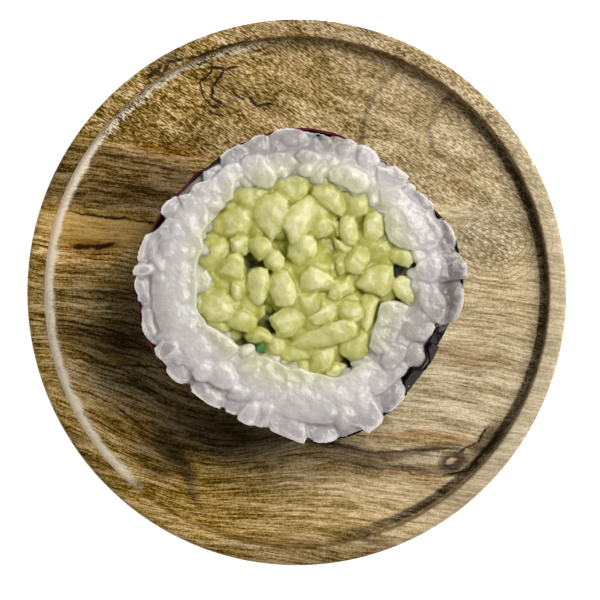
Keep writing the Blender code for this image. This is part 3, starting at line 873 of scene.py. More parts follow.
def note_pieces(skin, outlines, seed):
    """Notes on the skin, for its colours: how far in mm each point lies inside the outline of
    its own piece, a value drawn for that piece, and how far the point stands out, in mm."""
    mesh, chance = skin.data, Random(seed)
    count = len(mesh.vertices)
    spots, normals = np.empty(count * 3), np.empty(count * 3)
    mesh.vertices.foreach_get("co", spots)
    mesh.vertices.foreach_get("normal", normals)
    spots, normals = spots.reshape(-1, 3) / MM, normals.reshape(-1, 3)
    inside_by, drawn = np.zeros(count), np.full(count, 0.5)
    for _, *outline in outlines:
        value = chance.random()
        within, off = np.zeros(count, bool), np.full(count, 9.0)
        for (x1, y1), (x2, y2) in zip(outline, outline[1:] + outline[:1]):
            along = np.array((x2 - x1, y2 - y1))
            to = spots[:, :2] - (x1, y1)
            share = np.clip(to @ along / (along @ along), 0, 1)
            off = np.minimum(off, np.linalg.norm(to - share[:, None] * along, axis=1))
            crossed = (y1 > spots[:, 1]) != (y2 > spots[:, 1])
            within ^= crossed & (to[:, 0] < (x2 - x1) * to[:, 1] / (y2 - y1 or 1e-9))
        taken = within & (off > inside_by)
        inside_by[taken], drawn[taken] = off[taken], value
    crushed = (inside_by == 0) & (spots[:, 2] > roll_top / MM - 0.45)
    inside_by[crushed] = 2
    ends = np.empty(len(mesh.edges) * 2, int)
    mesh.edges.foreach_get("vertices", ends)
    first, second = ends[0::2], ends[1::2]
    shared = np.bincount(ends, minlength=count)
    soft = spots.copy()
    for _ in range(10):
        soft = np.stack(
            [
                np.bincount(first, soft[second, i], count) + np.bincount(second, soft[first, i], count)
                for i in range(3)
            ],
            1,
        ) / shared[:, None]
    stands_out = ((spots - soft) * normals).sum(1)
    for name, values in (("inside_by", inside_by), ("drawn", drawn), ("stands_out", stands_out)):
        mesh.attributes.new(name, "FLOAT", "POINT").data.foreach_set("value", values)


fuse(rice, 0.16 * MM, 2, 0.6, 0.04, 0.16)
note_pieces(rice, grain_outlines, 5)

steamed, steamed_shader = new_material("steamed short-grain rice")
place = add(steamed, "TexCoord").outputs["Object"]
middle = (-roll_centre.x / MM, -roll_centre.y / MM, 0)
inputs = {"Vector": place, "Location": middle, "Scale": (1000, 1000, 0)}
from_middle = add(steamed, "Mapping", inputs)
radius = add(steamed, "VectorMath", [from_middle], operation="LENGTH")
outwards = add(steamed, "MapRange", [radius, 17.5, 22.5], **smooth)
inputs = {0: outwards, 6: linear("#cbc8c5"), 7: linear("#a19b9d")}
rice_colour = add(steamed, "Mix", inputs, data_type="RGBA").outputs[2]
steamed_place = add(steamed, "Mapping", {"Vector": place, "Scale": in_mm}).outputs[0]

# Each grain a little its own, and the deep ones painted a greyish olive shade.
drawn = add(steamed, "Attribute", attribute_name="drawn").outputs["Fac"]
inputs = {"Value": drawn, "To Min": 0.0, "To Max": 0.6}
share = add(steamed, "MapRange", inputs).outputs[0]
inputs = {0: share, 6: rice_colour, 7: linear("#e4e0dc")}
rice_colour = add(steamed, "Mix", inputs, data_type="RGBA").outputs[2]
height = add(steamed, "SeparateXYZ", {"Vector": place}).outputs["Z"]
inputs = {"Value": height, "From Min": roll_top - 1.3 * MM, "From Max": roll_top - 2.8 * MM}
share = add(steamed, "MapRange", inputs).outputs[0]
inputs = {0: share, 6: rice_colour, 7: linear("#77705a")}
rice_colour = add(steamed, "Mix", inputs, data_type="RGBA").outputs[2]

# The crushed rice beside the cucumber has taken up a little green.
inputs = {
    "Vector": steamed_place,
    "Location": (fill_centre.x / MM, fill_centre.y / MM, 0),
    "Scale": (1, 1, 9999),
}
from_fill = add(steamed, "Mapping", inputs, vector_type="TEXTURE").outputs[0]
from_fill = add(steamed, "VectorMath", {0: from_fill}, operation="LENGTH").outputs["Value"]
inputs = {"Value": from_fill, "From Min": 17.6, "From Max": 14.6, "To Max": 0.75}
share = add(steamed, "MapRange", inputs).outputs[0]
inputs = {0: share, 6: rice_colour, 7: linear("#c5c699")}
rice_colour = add(steamed, "Mix", inputs, data_type="RGBA").outputs[2]
inside_by = add(steamed, "Attribute", attribute_name="inside_by").outputs["Fac"]
patchy = add(steamed, "TexNoise", {"Vector": steamed_place, "Scale": 0.6, "Detail": 1})
inputs = {"Value": patchy.outputs[0], "From Min": 0.3, "From Max": 0.5, "To Min": 0.45}
broken = add(steamed, "MapRange", inputs).outputs[0]
# Painted light along the outer grains' outlines: greyer inside, a pale painted highlight line just
# within the edge and a dark painted shade line on it, so the edges look clear.
for start, full_at, share_in, share_out, tint in (
    (1.5, 0.5, 0.05, 0.4, "#a7a2a6"),
    (0.34, 0.1, 0.15, 0.8, "#f6ebe8"),
    (0.12, 0.0, 0.25, 0.8, "#a39b90"),
):
    inputs = {"Value": outwards, "To Min": share_in, "To Max": share_out}
    most = add(steamed, "MapRange", inputs).outputs[0]
    most = add(steamed, "Math", {0: most, 1: broken}, operation="MULTIPLY").outputs[0]
    inputs = {"Value": inside_by, "From Min": start, "From Max": full_at, "To Max": most}
    share = add(steamed, "MapRange", inputs).outputs[0]
    inputs = {0: share, 6: rice_colour, 7: linear(tint)}
    rice_colour = add(steamed, "Mix", inputs, data_type="RGBA").outputs[2]
# Painted highlight where the skin stands out.
stands_out = add(steamed, "Attribute", attribute_name="stands_out").outputs["Fac"]
inputs = {"Value": stands_out, "From Min": 0.02, "From Max": 0.12, "To Max": 0.35}
share = add(steamed, "MapRange", inputs).outputs[0]
inputs = {0: share, 6: rice_colour, 7: linear("#f2e7e2")}
rice_colour = add(steamed, "Mix", inputs, data_type="RGBA").outputs[2]

# Light passes through the thin creases, so they stay pale.
inputs = {"Value": stands_out, "From Min": -0.02, "From Max": -0.12, "To Max": 0.45}
share = add(steamed, "MapRange", inputs).outputs[0]
inputs = {0: share, 6: rice_colour, 7: linear("#f1eff0")}
rice_colour = add(steamed, "Mix", inputs, data_type="RGBA").outputs[2]
# Painted shade: the rice on the right and along the top and bottom rims is greyed.
for x, y, length, width, turn, soft, strength, tint in (
    (17.5, -6, 8, 15, -15, 0.7, 0.6, "#9a968f"),
    (23.2, -1.2, 5.4, 11, 8, 0.4, 0.8, "#665f5e"),
    (21.9, 7, 3.4, 11, 20, 0.6, 0.6, "#7c7674"),
    (16, 17, 14, 4, -45, 0.8, 0.4, "#97908f"),
    (-1, 21.5, 22, 4.6, 0, 0.7, 0.6, "#938c8a"),
    (13, -8, 8, 10, 30, 0.8, 0.35, "#a09c98"),
    (0, -20, 26, 7, 0, 0.8, 0.35, "#a9a4a6"),
    (14.6, -15.6, 8, 5, 40, 0.6, 0.5, "#97939a"),
):
    spot = oval(steamed, steamed_place, x, y, length, width, turn, soft)
    share = add(steamed, "Math", {0: spot, 1: strength}, operation="MULTIPLY").outputs[0]
    inputs = {0: share, 6: rice_colour, 7: linear(tint)}
    rice_colour = add(steamed, "Mix", inputs, data_type="RGBA").outputs[2]

# Deep gaps at these spots are painted near black where they sink below the cut.
inputs = {"Value": height, "From Min": roll_top - 0.9 * MM, "From Max": roll_top - 1.4 * MM}
deep = add(steamed, "MapRange", inputs).outputs[0]
for x, y, length, width, turn in (
    (20.3, -6.9, 3.4, 7, -30),
    (17.4, -12.9, 2.6, 2.6, 0),
    (20.2, 11, 1.5, 1.1, 40),
    (22.6, 6.1, 1.3, 0.9, 0),
    (2.6, 22.6, 6.0, 1.3, -12),
    (-20.0, 10.2, 1.6, 3.4, -30),
    (12.1, -18.3, 1.0, 0.8, 0),
):
    spot = oval(steamed, steamed_place, x, y, length, width, turn, 0.3)
    share = add(steamed, "Math", {0: spot, 1: deep}, operation="MULTIPLY").outputs[0]
    inputs = {0: share, 6: rice_colour, 7: linear("#150d11")}
    rice_colour = add(steamed, "Mix", inputs, data_type="RGBA").outputs[2]
waves = add(steamed, "TexNoise", {"Vector": steamed_place, "Scale": 0.9, "Detail": 2})
inputs = {0: waves.outputs[1], 1: (1.4, 1.4, 1.4), 2: steamed_place}
shifted_rice = add(steamed, "VectorMath", inputs, operation="MULTIPLY_ADD").outputs[0]
speckle = add(steamed, "TexNoise", {"Vector": steamed_place, "Scale": 2.6, "Detail": 3})
inputs = {"Value": speckle.outputs[0], "From Min": 0.3, "From Max": 0.7, "To Min": 0.95, "To Max": 1.03}
shade = add(steamed, "MapRange", inputs).outputs[0]
inputs = {0: rice_colour, "Scale": shade}
rice_colour = add(steamed, "VectorMath", inputs, operation="SCALE").outputs[0]
steamed.node_tree.links.new(rice_colour, steamed_shader.inputs["Base Color"])
grit = add(steamed, "TexNoise", {"Vector": steamed_place, "Scale": 3.0, "Detail": 3})
crumbs = add(steamed, "TexVoronoi", {"Vector": shifted_rice, "Scale": 0.62}, feature="SMOOTH_F1")
inputs = {0: grit.outputs[0], 1: 0.35, 2: crumbs.outputs["Distance"]}
relief = add(steamed, "Math", inputs, operation="MULTIPLY_ADD").outputs[0]
inputs = {"Height": relief, "Strength": 0.62, "Distance": 0.3 * MM}
dimples = add(steamed, "Bump", inputs, invert=True).outputs[0]
steamed.node_tree.links.new(dimples, steamed_shader.inputs["Normal"])
steamed_shader.inputs["Subsurface Weight"].default_value = 1.0
steamed_shader.inputs["Subsurface Radius"].default_value = (1.0, 0.9, 0.85)
steamed_shader.inputs["Subsurface Scale"].default_value = 2.8 * MM
steamed_shader.inputs["Roughness"].default_value = 0.24
for piece in (rice, rice_core):
    piece.data.materials.clear()
    piece.data.materials.append(steamed)
    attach(piece, "root")
    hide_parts("rice")

# ------------------------------------------------------------------ the cucumber
# Peeled cucumber, cut by hand into small uneven pieces and packed as the roll's core.


# The pieces that show, each its height above the cut and its outline.
piece_outlines = [
    # upper left
    (-0.5, (-3, 16.5), (-2, 17.1), (-0.6, 17.5), (0.9, 17.1), (1.8, 15.9), (1.2, 14.3), (0.1, 13),
     (-1.1, 12.8), (-2.4, 13.8), (-3.5, 15)),
    (0.05, (-5.9, 12.6), (-4.4, 13.8), (-2.8, 14), (-1.4, 13), (-1.5, 11.2), (-2, 9.2),
     (-3.5, 7.6), (-4.5, 8.6), (-5.6, 9.8), (-6.4, 11.2)),
    (0.15, (-1.7, 10.7), (-0.8, 12.1), (0.5, 13.1), (1.6, 13.7), (2.6, 13), (3.3, 11.6), (2.6, 10.2),
     (1.6, 8.7), (0.3, 7.5), (-0.7, 7.1), (-1.3, 8.1), (-1.8, 9.4)),
    (-0.4, (-8.9, 15.8), (-7.9, 16.4), (-7.1, 16.6), (-6.5, 15.9), (-6.2, 14.5), (-6.1, 13),
     (-6.5, 11.9), (-7.6, 11.7), (-8.4, 12.5), (-8.9, 14)),
    (-0.4, (-11.3, 9.8), (-10.6, 11), (-9.6, 11.9), (-8.4, 12.1), (-7.3, 11.5), (-6.8, 10.4),
     (-6.9, 9.2), (-7.4, 8.3), (-8.6, 8.1), (-10, 8.1), (-11.2, 8.4)),
    (-0.7, (-6.9, 9.8), (-6, 10), (-5, 9.2), (-4.2, 8.2), (-5, 7.7), (-6.2, 8.2), (-6.7, 8.9)),
    (0.1, (-6.6, 7.4), (-5.6, 7.9), (-4.5, 7.7), (-3.8, 6.9), (-3.9, 6.1), (-4.6, 5.3),
     (-5.4, 4.6), (-6.1, 5.2), (-6.8, 6.2)),
    (-0.3, (-9.5, 7.5), (-8.6, 7.9), (-7.3, 7.8), (-6.8, 7.1), (-6.9, 6), (-7.4, 5.3),
     (-8.6, 5.4), (-9.2, 5.9), (-9.4, 6.7)),
    (-0.6, (-13.9, 6), (-13.2, 7), (-12, 7.6), (-10.6, 7.7), (-9.9, 7), (-9.7, 6), (-9.8, 5.2),
     (-10.8, 4.4), (-11.6, 3.3), (-12.6, 2.7), (-13.6, 3.6), (-14.3, 4.8)),
    (-0.1, (-4.8, 4.8), (-4.2, 5.7), (-3.4, 6.1), (-2.6, 5.7), (-2.1, 4.9), (-2, 3.9), (-2.5, 3.2),
     (-3.4, 3.2), (-4.3, 3.8)),
    (-0.1, (-1.3, 5.3), (-0.9, 6.6), (-0.4, 7.4), (0.7, 8), (1.9, 7.8), (2.6, 6.9), (2.8, 5.9),
     (2.4, 5.1), (1.5, 4.8), (1, 4.2), (0.5, 3.8), (-0.5, 4.3)),
    (-0.3, (1.9, 8.8), (2.1, 9.9), (3, 10.6), (3.9, 10.8), (4.7, 10.3), (5, 9.4), (4.9, 8.6),
     (4.1, 8.1), (3, 7.8), (2.3, 8)),
    (-0.6, (4.6, 10.9), (5.4, 10.7), (6.1, 10.1), (6.3, 9), (5.7, 8.3), (5.2, 8.8), (5, 9.8)),
    # upper right
    (-0.2, (2.2, 14), (2.6, 15), (3.8, 15.5), (5.2, 15.2), (6.2, 14.3), (6.7, 13.1), (6.7, 11.8),
     (6.2, 11), (5.3, 11.4), (4.4, 12), (3.3, 12.8)),
    (-0.2, (6.5, 14.1), (8, 14.3), (9.6, 14.1), (10.1, 13.1), (10.1, 12), (9.7, 11.3), (9, 10.9),
     (8.3, 10.8), (7.2, 11), (6.9, 12), (6.8, 13.2)),
    (-0.5, (10, 14), (11.2, 14.2), (12.2, 13.8), (12, 12.6), (11.2, 12), (10.5, 12.3), (10.3, 13)),
    (0.0, (6.4, 10.3), (7, 10.7), (8, 10.5), (8.5, 9.7), (8.6, 8.6), (8.7, 7.7), (8.2, 6.9),
     (7.5, 6.7), (6.8, 7.1), (6.3, 8), (6.2, 9.2)),
    (-0.1, (9.8, 10.2), (10.2, 11.1), (11.4, 11.5), (12.2, 10.7), (12.4, 9.4), (12.2, 8.2),
     (11.4, 7.4), (10.4, 7.3), (9.7, 8), (9.6, 9)),
    (-0.5, (5.4, 7.6), (6.3, 7.2), (7.4, 6.6), (8.1, 6.2), (7.9, 5.3), (7.1, 5.2), (6.2, 5.8),
     (5.6, 6.5)),
    (0.05, (8.1, 6.2), (9, 6.4), (9.9, 6.1), (10.3, 5.3), (10.1, 4.3), (9.6, 3.5), (9, 2.8),
     (8.2, 2.8), (7.3, 3.2), (6.9, 3.9), (7.2, 4.8), (7.6, 5.6)),
    (-0.2, (5.6, 4.3), (6.2, 4.8), (6.8, 4.5), (7, 3.7), (6.8, 2.8), (6.2, 2.6), (5.7, 3.3)),
    (-0.7, (10.4, 6.9), (11.6, 7.3), (12.9, 7.1), (13.3, 6.2), (13.1, 5.3), (12.3, 4.5), (11.2, 4.1),
     (10.4, 4.5), (10.5, 5.6)),
    (-0.3, (13.5, 5.9), (14.2, 6.4), (15.4, 6.2), (16.2, 5.5), (16.4, 4.5), (15.9, 3.6), (15.1, 3.9),
     (14, 4.3), (13.4, 5)),
    (0.0, (8.7, 1.2), (9.4, 2.3), (10.2, 3.1), (11.4, 3.7), (12.7, 3.8), (13.6, 3.5), (13.8, 2.4),
     (13.8, 1.2), (13.3, 0.4), (12.6, -0.3), (12, -0.5), (11.2, -0.1), (10, 0.2), (9.2, 0.7)),
    (-0.2, (14.1, 1.7), (15, 2.1), (16.2, 1.8), (17, 0.9), (17.2, -0.4), (16.7, -1.7), (16, -2.1),
     (15.2, -1.3), (14.3, -0.5), (13.8, 0.6)),
    (-1.2, (3, 4.6), (3.6, 5.1), (4.6, 4.8), (5.5, 4.3), (5.6, 3), (5.3, 2.2), (4.4, 2.8), (3.3, 3.3)),
    (-1.8, (3, 7.4), (4.4, 7.9), (5.3, 7.4), (6, 6.2), (6.9, 5), (5.8, 4.4), (4.4, 5), (3.4, 5.6)),
    # lower left
    (-0.2, (-11.5, 3.2), (-10.8, 4.3), (-9.7, 5.1), (-8.6, 5.2), (-7.8, 4.6), (-7.7, 3.4),
     (-7.7, 2.2), (-7.9, 1.6), (-8.8, 1.8), (-9.8, 1.9), (-10.8, 2.2), (-11.7, 2.5)),
    (-1.0, (-13.4, 3.4), (-12.2, 3.4), (-11.2, 2.6), (-10.2, 1.6), (-11, 0.7), (-12, 0.9),
     (-12.7, 1.9)),
    (-0.1, (-9.2, 1.2), (-8.5, 1.7), (-7.9, 1.3), (-7.8, 0.2), (-8, -0.8), (-8.6, -1.1), (-9.1, -0.7),
     (-9.3, 0.3)),
    (0.15, (-7, 2.3), (-6.3, 3.1), (-5.2, 3.3), (-4.3, 2.9), (-4, 1.9), (-4.2, 0.6), (-4.5, -0.6),
     (-4.9, -1.4), (-5.4, -1.8), (-6.2, -1.5), (-6.8, -0.8), (-7.1, 0.4)),
    (0.05, (-3.8, 1.6), (-3.4, 2.6), (-2.4, 3.2), (-1.4, 2.8), (-0.8, 1.8), (-0.3, 0.7), (-0.1, -0.6),
     (-0.5, -1.6), (-1.6, -2.1), (-2.8, -1.8), (-3.4, -1), (-3.9, 0.2)),
    (-0.2, (-13.9, -0.6), (-13.2, 0.1), (-12, 0.3), (-10.6, 0.1), (-9.6, -0.7), (-9.1, -1.8),
     (-9.2, -3), (-10, -3.9), (-11.4, -4.1), (-12.8, -3.9), (-13.7, -3), (-14.1, -1.8)),
    (-0.2, (-9.7, -3.6), (-8.8, -2.7), (-7.6, -2.4), (-6.5, -2.8), (-5.9, -3.8), (-6.1, -4.9),
     (-6.9, -5.6), (-7.8, -5.5), (-8.8, -5.1), (-9.7, -4.7)),
    (-0.6, (-13.4, -4.2), (-12, -4.2), (-10.4, -4), (-9.6, -4.8), (-10, -5.6), (-11.2, -5.6),
     (-12.4, -5)),
    (-0.25, (-7.2, -6.3), (-6.4, -5.5), (-5.2, -5.1), (-4.3, -5.6), (-3.9, -6.2), (-3.7, -6.7),
     (-4.1, -7.3), (-4.9, -7.1), (-6, -7.3), (-6.8, -7)),
    (-0.05, (-3.8, -3.9), (-3, -3.1), (-1.8, -2.5), (-0.4, -2.5), (0.5, -3), (1, -3.8), (0.8, -4.8),
     (0.1, -5.5), (-0.7, -6.2), (-1.8, -6.4), (-2.7, -6.2), (-2.7, -5.5), (-3.3, -4.8)),
    (-0.6, (-4.8, -8.4), (-3.6, -7.6), (-2, -7.9), (-0.4, -8.2), (1, -8.3), (2.1, -8.6), (1.5, -9.4),
     (0.4, -9.7), (-1.2, -9.8), (-3, -9.2), (-4.4, -9.2)),
    (-1.3, (-3.8, -6.6), (-2.4, -6.6), (-1.1, -6.8), (-1, -8), (-2.4, -8.2), (-3.6, -7.8)),
    (-1.5, (-8.6, -2.4), (-7.4, -1.4), (-6, -1.7), (-4.8, -2.1), (-4.8, -3.4), (-5.7, -4.4),
     (-6.6, -3.6)),
    # lower right
    (0.0, (0.6, 1.9), (1, 2.9), (2, 3.4), (3.2, 3.1), (4.2, 2.6), (5, 1.9), (5.1, 1), (4.5, 0.4),
     (3.4, 0.2), (2.4, 0.1), (1.3, 0), (0.6, 0.8)),
    (-0.1, (5.3, 1.5), (6.4, 1.6), (7.5, 2.1), (7.9, 1.2), (8.3, 0.4), (7.8, -0.1), (6.9, -0.4),
     (6.2, -1), (5.3, -1.1), (4.7, -0.6), (4.9, 0.5)),
    (-0.2, (0.2, -0.4), (1.4, -0.2), (2.8, -0.1), (3.3, -0.7), (3.3, -1.8), (2.8, -2.9), (1.6, -3.3),
     (0.7, -2.8), (0.1, -1.6)),
    (-0.25, (3.6, -0.5), (4.6, -0.7), (5.5, -1.3), (5.8, -2.2), (5.6, -3.4), (4.9, -4.1), (3.8, -4.5),
     (2.6, -4.5), (1.7, -3.8), (2.7, -3.1), (3.4, -2)),
    (-0.1, (6.1, -1.6), (7.2, -1.4), (8.5, -1.5), (9.2, -2.4), (9.2, -3.5), (8.4, -4.3), (7.2, -4.2),
     (6.2, -3.7), (5.9, -2.7)),
    (-0.3, (9.1, -0.8), (9.8, -0.4), (10.9, -0.6), (11.5, -1.3), (11.2, -2.5), (10.8, -3.6),
     (10.5, -4.8), (10.1, -5.6), (9.5, -5), (9.2, -4), (9.5, -2.8), (9.2, -1.8)),
    (0.3, (-0.9, -7.5), (0, -6.8), (1.6, -5.8), (3.2, -5.2), (5, -4.4), (6.6, -4.2), (7.8, -4.3),
     (8.4, -5.1), (8.1, -6.1), (7.2, -6.8), (5.8, -7.2), (4.6, -7.7), (3, -8), (1.6, -8.3),
     (0.2, -8.1)),
    (-0.2, (6.3, -7.3), (7.6, -6.9), (8.5, -6.2), (9.2, -5.6), (10.1, -6.1), (10.2, -7.4),
     (9.9, -8.8), (9.6, -9.7), (8.7, -10.2), (7.6, -9.7), (6.4, -8.8), (6.1, -8)),
    (-0.5, (2, -8.6), (3.2, -8.2), (4.6, -7.9), (5.2, -8.3), (5.3, -9.4), (4.9, -10.3), (4.1, -11.3),
     (3, -11.2), (2, -10.7), (1.2, -9.8)),
    (-0.6, (4.7, -10.6), (5.6, -10.1), (6.8, -10.5), (7, -11.4), (6.2, -12.3), (5.2, -12.3),
     (4.2, -11.8)),
]
pieces = []
chance = Random(21)
for top, *outline in piece_outlines:
    shift = (chance.uniform(-0.3, 0.3), chance.uniform(-0.3, 0.3))
    lean = (chance.uniform(-0.15, 0.15), chance.uniform(-0.15, 0.15))
    pieces.append(slab(outline, top, 0.65, 0.25, 3.4, shift, lean))

# Places where the pieces leave a hole that goes far down.
holes = (
    (-6.3, 4.1, 2.3, -3.8), (-3.7, -4.9, 2.4, -3.8), (14.3, 2.9, 2.6, -3.8), (-3.9, -1.5, 1.2, -2.6),
    (-2.4, 6.8, 2.6, -2.4), (1.7, 14.6, 1.5, -1.9), (4.9, 12.2, 1.6, -2.2), (9.3, 8.3, 1.5, -2.0),
    (4.8, 6.2, 2.2, -2.1), (6.2, 2.3, 1.3, -2.0), (10.5, 0, 1.6, -2.2), (-8.3, -6.6, 2.2, -1.9),
    (1, -5, 1.2, -2), (6.8, -9.6, 1.8, -2.6), (11, -3.5, 1.4, -2), (-9.5, 5.8, 1.2, -2.4),
    (-6.8, 8.3, 1, -2.2), (13.6, -0.8, 1.5, -2.4), (-5.8, -8.1, 1.6, -1.4),
)
for row in range(-8, 9):
    for column in range(-8, 9):
        x, y = (column + row % 2 / 2) * 2.5, row * 2.2
        x, y = x + chance.uniform(-0.5, 0.5), y + chance.uniform(-0.5, 0.5)
        spot = fill_centre + Vector((x, y)) * MM
        if Vector((x, y)).length * MM > (fill_edge(atan2(y, x)) - fill_centre).length - 0.3 * MM:
            continue
        size = chance.uniform(4.2, 5.4)
        top, turn = -chance.uniform(0.45, 1.1), chance.uniform(0, 180)
        for hx, hy, wide, deep in holes:
            if (spot.x / MM - hx) ** 2 + (spot.y / MM - hy) ** 2 < wide**2:
                top, size = deep, 3.0
        pieces.append(pebble(spot.x / MM, spot.y / MM, top, size, size * 0.85, turn))
start_clean()
for piece in pieces:
    piece.select_set(True)
bpy.context.view_layer.objects.active = pieces[0]
bpy.ops.object.join()
cucumber = bpy.context.object
cucumber.name = "cucumber_pieces"
fuse(cucumber, 0.15 * MM, 3, 0.6, 0.05, 0.2)
note_pieces(cucumber, piece_outlines, 9)

start_clean()
bpy.ops.mesh.primitive_cylinder_add(vertices=96, radius=1, depth=1, end_fill_type="NGON")
cucumber_core = bpy.context.object
cucumber_core.name = "cucumber_core"
for vertex in cucumber_core.data.vertices:
    angle = atan2(vertex.co.y, vertex.co.x)
    vertex.co = (*fill_edge(angle), roll_foot if vertex.co.z < 0 else roll_top - 4.4 * MM)

flesh, flesh_shader = new_material("wet cucumber flesh")
place = add(flesh, "TexCoord").outputs["Object"]
flesh_place = add(flesh, "Mapping", {"Vector": place, "Scale": in_mm}).outputs[0]
height = add(flesh, "SeparateXYZ", {"Vector": place}).outputs["Z"]
flesh_colour = linear("#d8d49f")
# Painted shade: the flesh is painted darker and greener the deeper it lies below the cut, down to near
# black.
for high, low, tint in (
    (-0.1, -1.0, "#b4b350"),
    (-0.8, -2.2, "#a2a42c"),
    (-2.0, -3.4, "#807f22"),
    (-3.2, -4.8, "#33320f"),
):
    inputs = {"Value": height, "From Min": roll_top + high * MM, "From Max": roll_top + low * MM}
    share = add(flesh, "MapRange", inputs).outputs[0]
    inputs = {0: share, 6: flesh_colour, 7: linear(tint)}
    flesh_colour = add(flesh, "Mix", inputs, data_type="RGBA").outputs[2]

# Painted light: near the edges of each piece and in its creases the flesh is painted a full green
# shade, and its standing edges a milky painted highlight; each piece is also a little its own.
inside_by = add(flesh, "Attribute", attribute_name="inside_by").outputs["Fac"]
inputs = {"Value": inside_by, "From Min": 1.0, "From Max": 0.25, "To Max": 0.6}
share = add(flesh, "MapRange", inputs).outputs[0]
inputs = {0: share, 6: flesh_colour, 7: linear("#c6c567")}
flesh_colour = add(flesh, "Mix", inputs, data_type="RGBA").outputs[2]
stands_out = add(flesh, "Attribute", attribute_name="stands_out").outputs["Fac"]
inputs = {"Value": stands_out, "From Min": 0.02, "From Max": 0.12, "To Max": 0.6}
share = add(flesh, "MapRange", inputs).outputs[0]
inputs = {0: share, 6: flesh_colour, 7: linear("#ebe8bd")}
flesh_colour = add(flesh, "Mix", inputs, data_type="RGBA").outputs[2]
inputs = {"Value": stands_out, "From Min": -0.01, "From Max": -0.16, "To Max": 0.5}
share = add(flesh, "MapRange", inputs).outputs[0]
inputs = {0: share, 6: flesh_colour, 7: linear("#b6b63c")}
flesh_colour = add(flesh, "Mix", inputs, data_type="RGBA").outputs[2]
drawn = add(flesh, "Attribute", attribute_name="drawn").outputs["Fac"]
inputs = {"Value": drawn, "To Max": 0.6}
share = add(flesh, "MapRange", inputs).outputs[0]
inputs = {0: share, 6: flesh_colour, 7: linear("#b5b45c")}
flesh_colour = add(flesh, "Mix", inputs, data_type="RGBA").outputs[2]
# Painted shade: these holes are darkened further where they sink below the cut.
inputs = {"Value": height, "From Min": roll_top - 0.5 * MM, "From Max": roll_top - 1.2 * MM}
sunk = add(flesh, "MapRange", inputs).outputs[0]
for x, y, length, width, turn, soft, strength, tint in (
    (-5.8, -8.1, 3.4, 1.5, -8, 0.3, 0.9, "#3c7a3a"),
    (-6.4, 4.1, 1.6, 1.6, 0, 0.5, 0.8, "#33330f"),
    (14.3, 2.9, 1.1, 2.4, 0, 0.4, 0.95, "#14130a"),
    (-3.7, -4.9, 2.6, 1.1, -45, 0.5, 0.85, "#2b2a10"),
    (6.1, 10.3, 0.9, 0.6, 0, 0.4, 0.9, "#141408"),
    (-2.5, 5.6, 1.4, 0.5, -30, 0.5, 0.8, "#33330f"),
    (6.9, -9.6, 2.6, 1.0, -42, 0.5, 0.7, "#4a4916"),
    (-9.6, 5.8, 0.5, 1.5, 0, 0.5, 0.7, "#55541a"),
):
    spot = oval(flesh, flesh_place, x, y, length, width, turn, soft)
    share = add(flesh, "Math", {0: spot, 1: strength}, operation="MULTIPLY").outputs[0]
    share = add(flesh, "Math", {0: share, 1: sunk}, operation="MULTIPLY").outputs[0]
    inputs = {0: share, 6: flesh_colour, 7: linear(tint)}
    flesh_colour = add(flesh, "Mix", inputs, data_type="RGBA").outputs[2]
speckle = add(flesh, "TexNoise", {"Vector": flesh_place, "Scale": 3.2, "Detail": 3})
inputs = {"Value": speckle.outputs[0], "From Min": 0.3, "From Max": 0.7, "To Min": 0.94, "To Max": 1.04}
shade = add(flesh, "MapRange", inputs).outputs[0]
inputs = {0: flesh_colour, "Scale": shade}
flesh_colour = add(flesh, "VectorMath", inputs, operation="SCALE").outputs[0]
flesh.node_tree.links.new(flesh_colour, flesh_shader.inputs["Base Color"])
grit = add(flesh, "TexNoise", {"Vector": flesh_place, "Scale": 3, "Detail": 2})
inputs = {"Height": grit.outputs[0], "Strength": 0.25, "Distance": 0.15 * MM}
dimples = add(flesh, "Bump", inputs).outputs[0]
flesh.node_tree.links.new(dimples, flesh_shader.inputs["Normal"])
flesh_shader.inputs["Subsurface Weight"].default_value = 1.0
flesh_shader.inputs["Subsurface Radius"].default_value = (1.0, 1.0, 0.45)
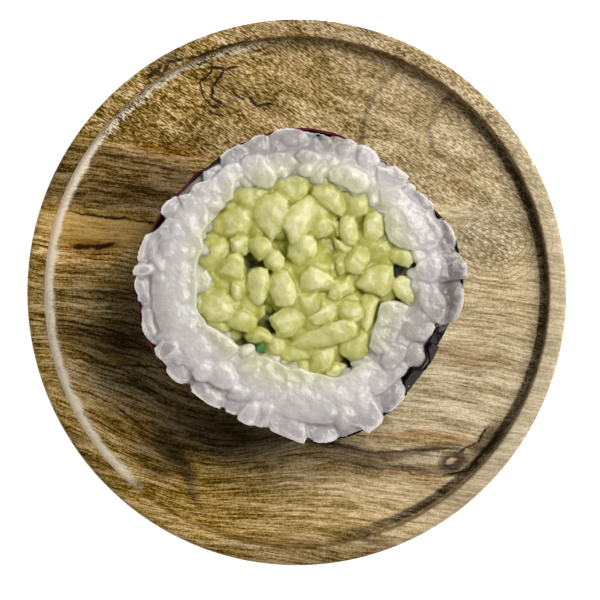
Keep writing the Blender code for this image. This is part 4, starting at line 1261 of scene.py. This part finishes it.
flesh_shader.inputs["Subsurface Scale"].default_value = 3.2 * MM
flesh_shader.inputs["Roughness"].default_value = 0.36
for piece in (cucumber, cucumber_core):
    piece.data.materials.clear()
    piece.data.materials.append(flesh)
    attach(piece, "root")
    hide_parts("cucumber")

# ------------------------------------------------------------------ the table and the lights
# A white table top, one large soft light high on the right, and an even pale sky.

start_clean()
bpy.ops.mesh.primitive_plane_add(size=4, location=(0, 0, -0.0002))
table_top = bpy.context.object
table_top.name = "table_top"
white, white_shader = new_material("white table top")
white_shader.inputs["Base Color"].default_value = linear("#fafafa")
white_shader.inputs["Roughness"].default_value = 0.8
white_shader.inputs["Emission Color"].default_value = linear("#ffffff")
white_shader.inputs["Emission Strength"].default_value = 0.9
table_top.data.materials.append(white)


def add_light(name, azimuth, elevation, distance, size, power, colour):
    """A round soft light that faces the dish. azimuth counts from +X towards +Y."""
    lamp = bpy.data.lights.new(name, "AREA")
    lamp.shape = "DISK"
    lamp.size = size
    lamp.energy = power
    lamp.color = linear(colour)[:3]
    light = bpy.data.objects.new(name, lamp)
    bpy.context.scene.collection.objects.link(light)
    a, e = radians(azimuth), radians(elevation)
    away = Vector((cos(a) * cos(e), sin(a) * cos(e), sin(e)))
    light.location = away * distance
    light.rotation_euler = away.to_track_quat("Z", "Y").to_euler()
    return light


add_light("key_light", 32, 60, 0.38, 0.30, 1.36, "#fffdfa")
add_light("small_light", 48, 68, 0.5, 0.05, 0.28, "#fffdf8")

world = bpy.data.worlds.new("pale_sky")
bpy.context.scene.world = world
world.use_nodes = True
world.node_tree.nodes["Background"].inputs["Color"].default_value = linear("#f4f6fa")
world.node_tree.nodes["Background"].inputs["Strength"].default_value = 0.14

scene = bpy.context.scene
scene.view_settings.view_transform = "Standard"

view = bpy.data.cameras.new("camera")
camera = bpy.data.objects.new("camera", view)
scene.collection.objects.link(camera)
scene.camera = camera
camera.location = (0.46 * MM, -1.14 * MM, 0.6)
view.lens = 238.6
view.sensor_width = 36
view.clip_start = 0.01
view.clip_end = 10
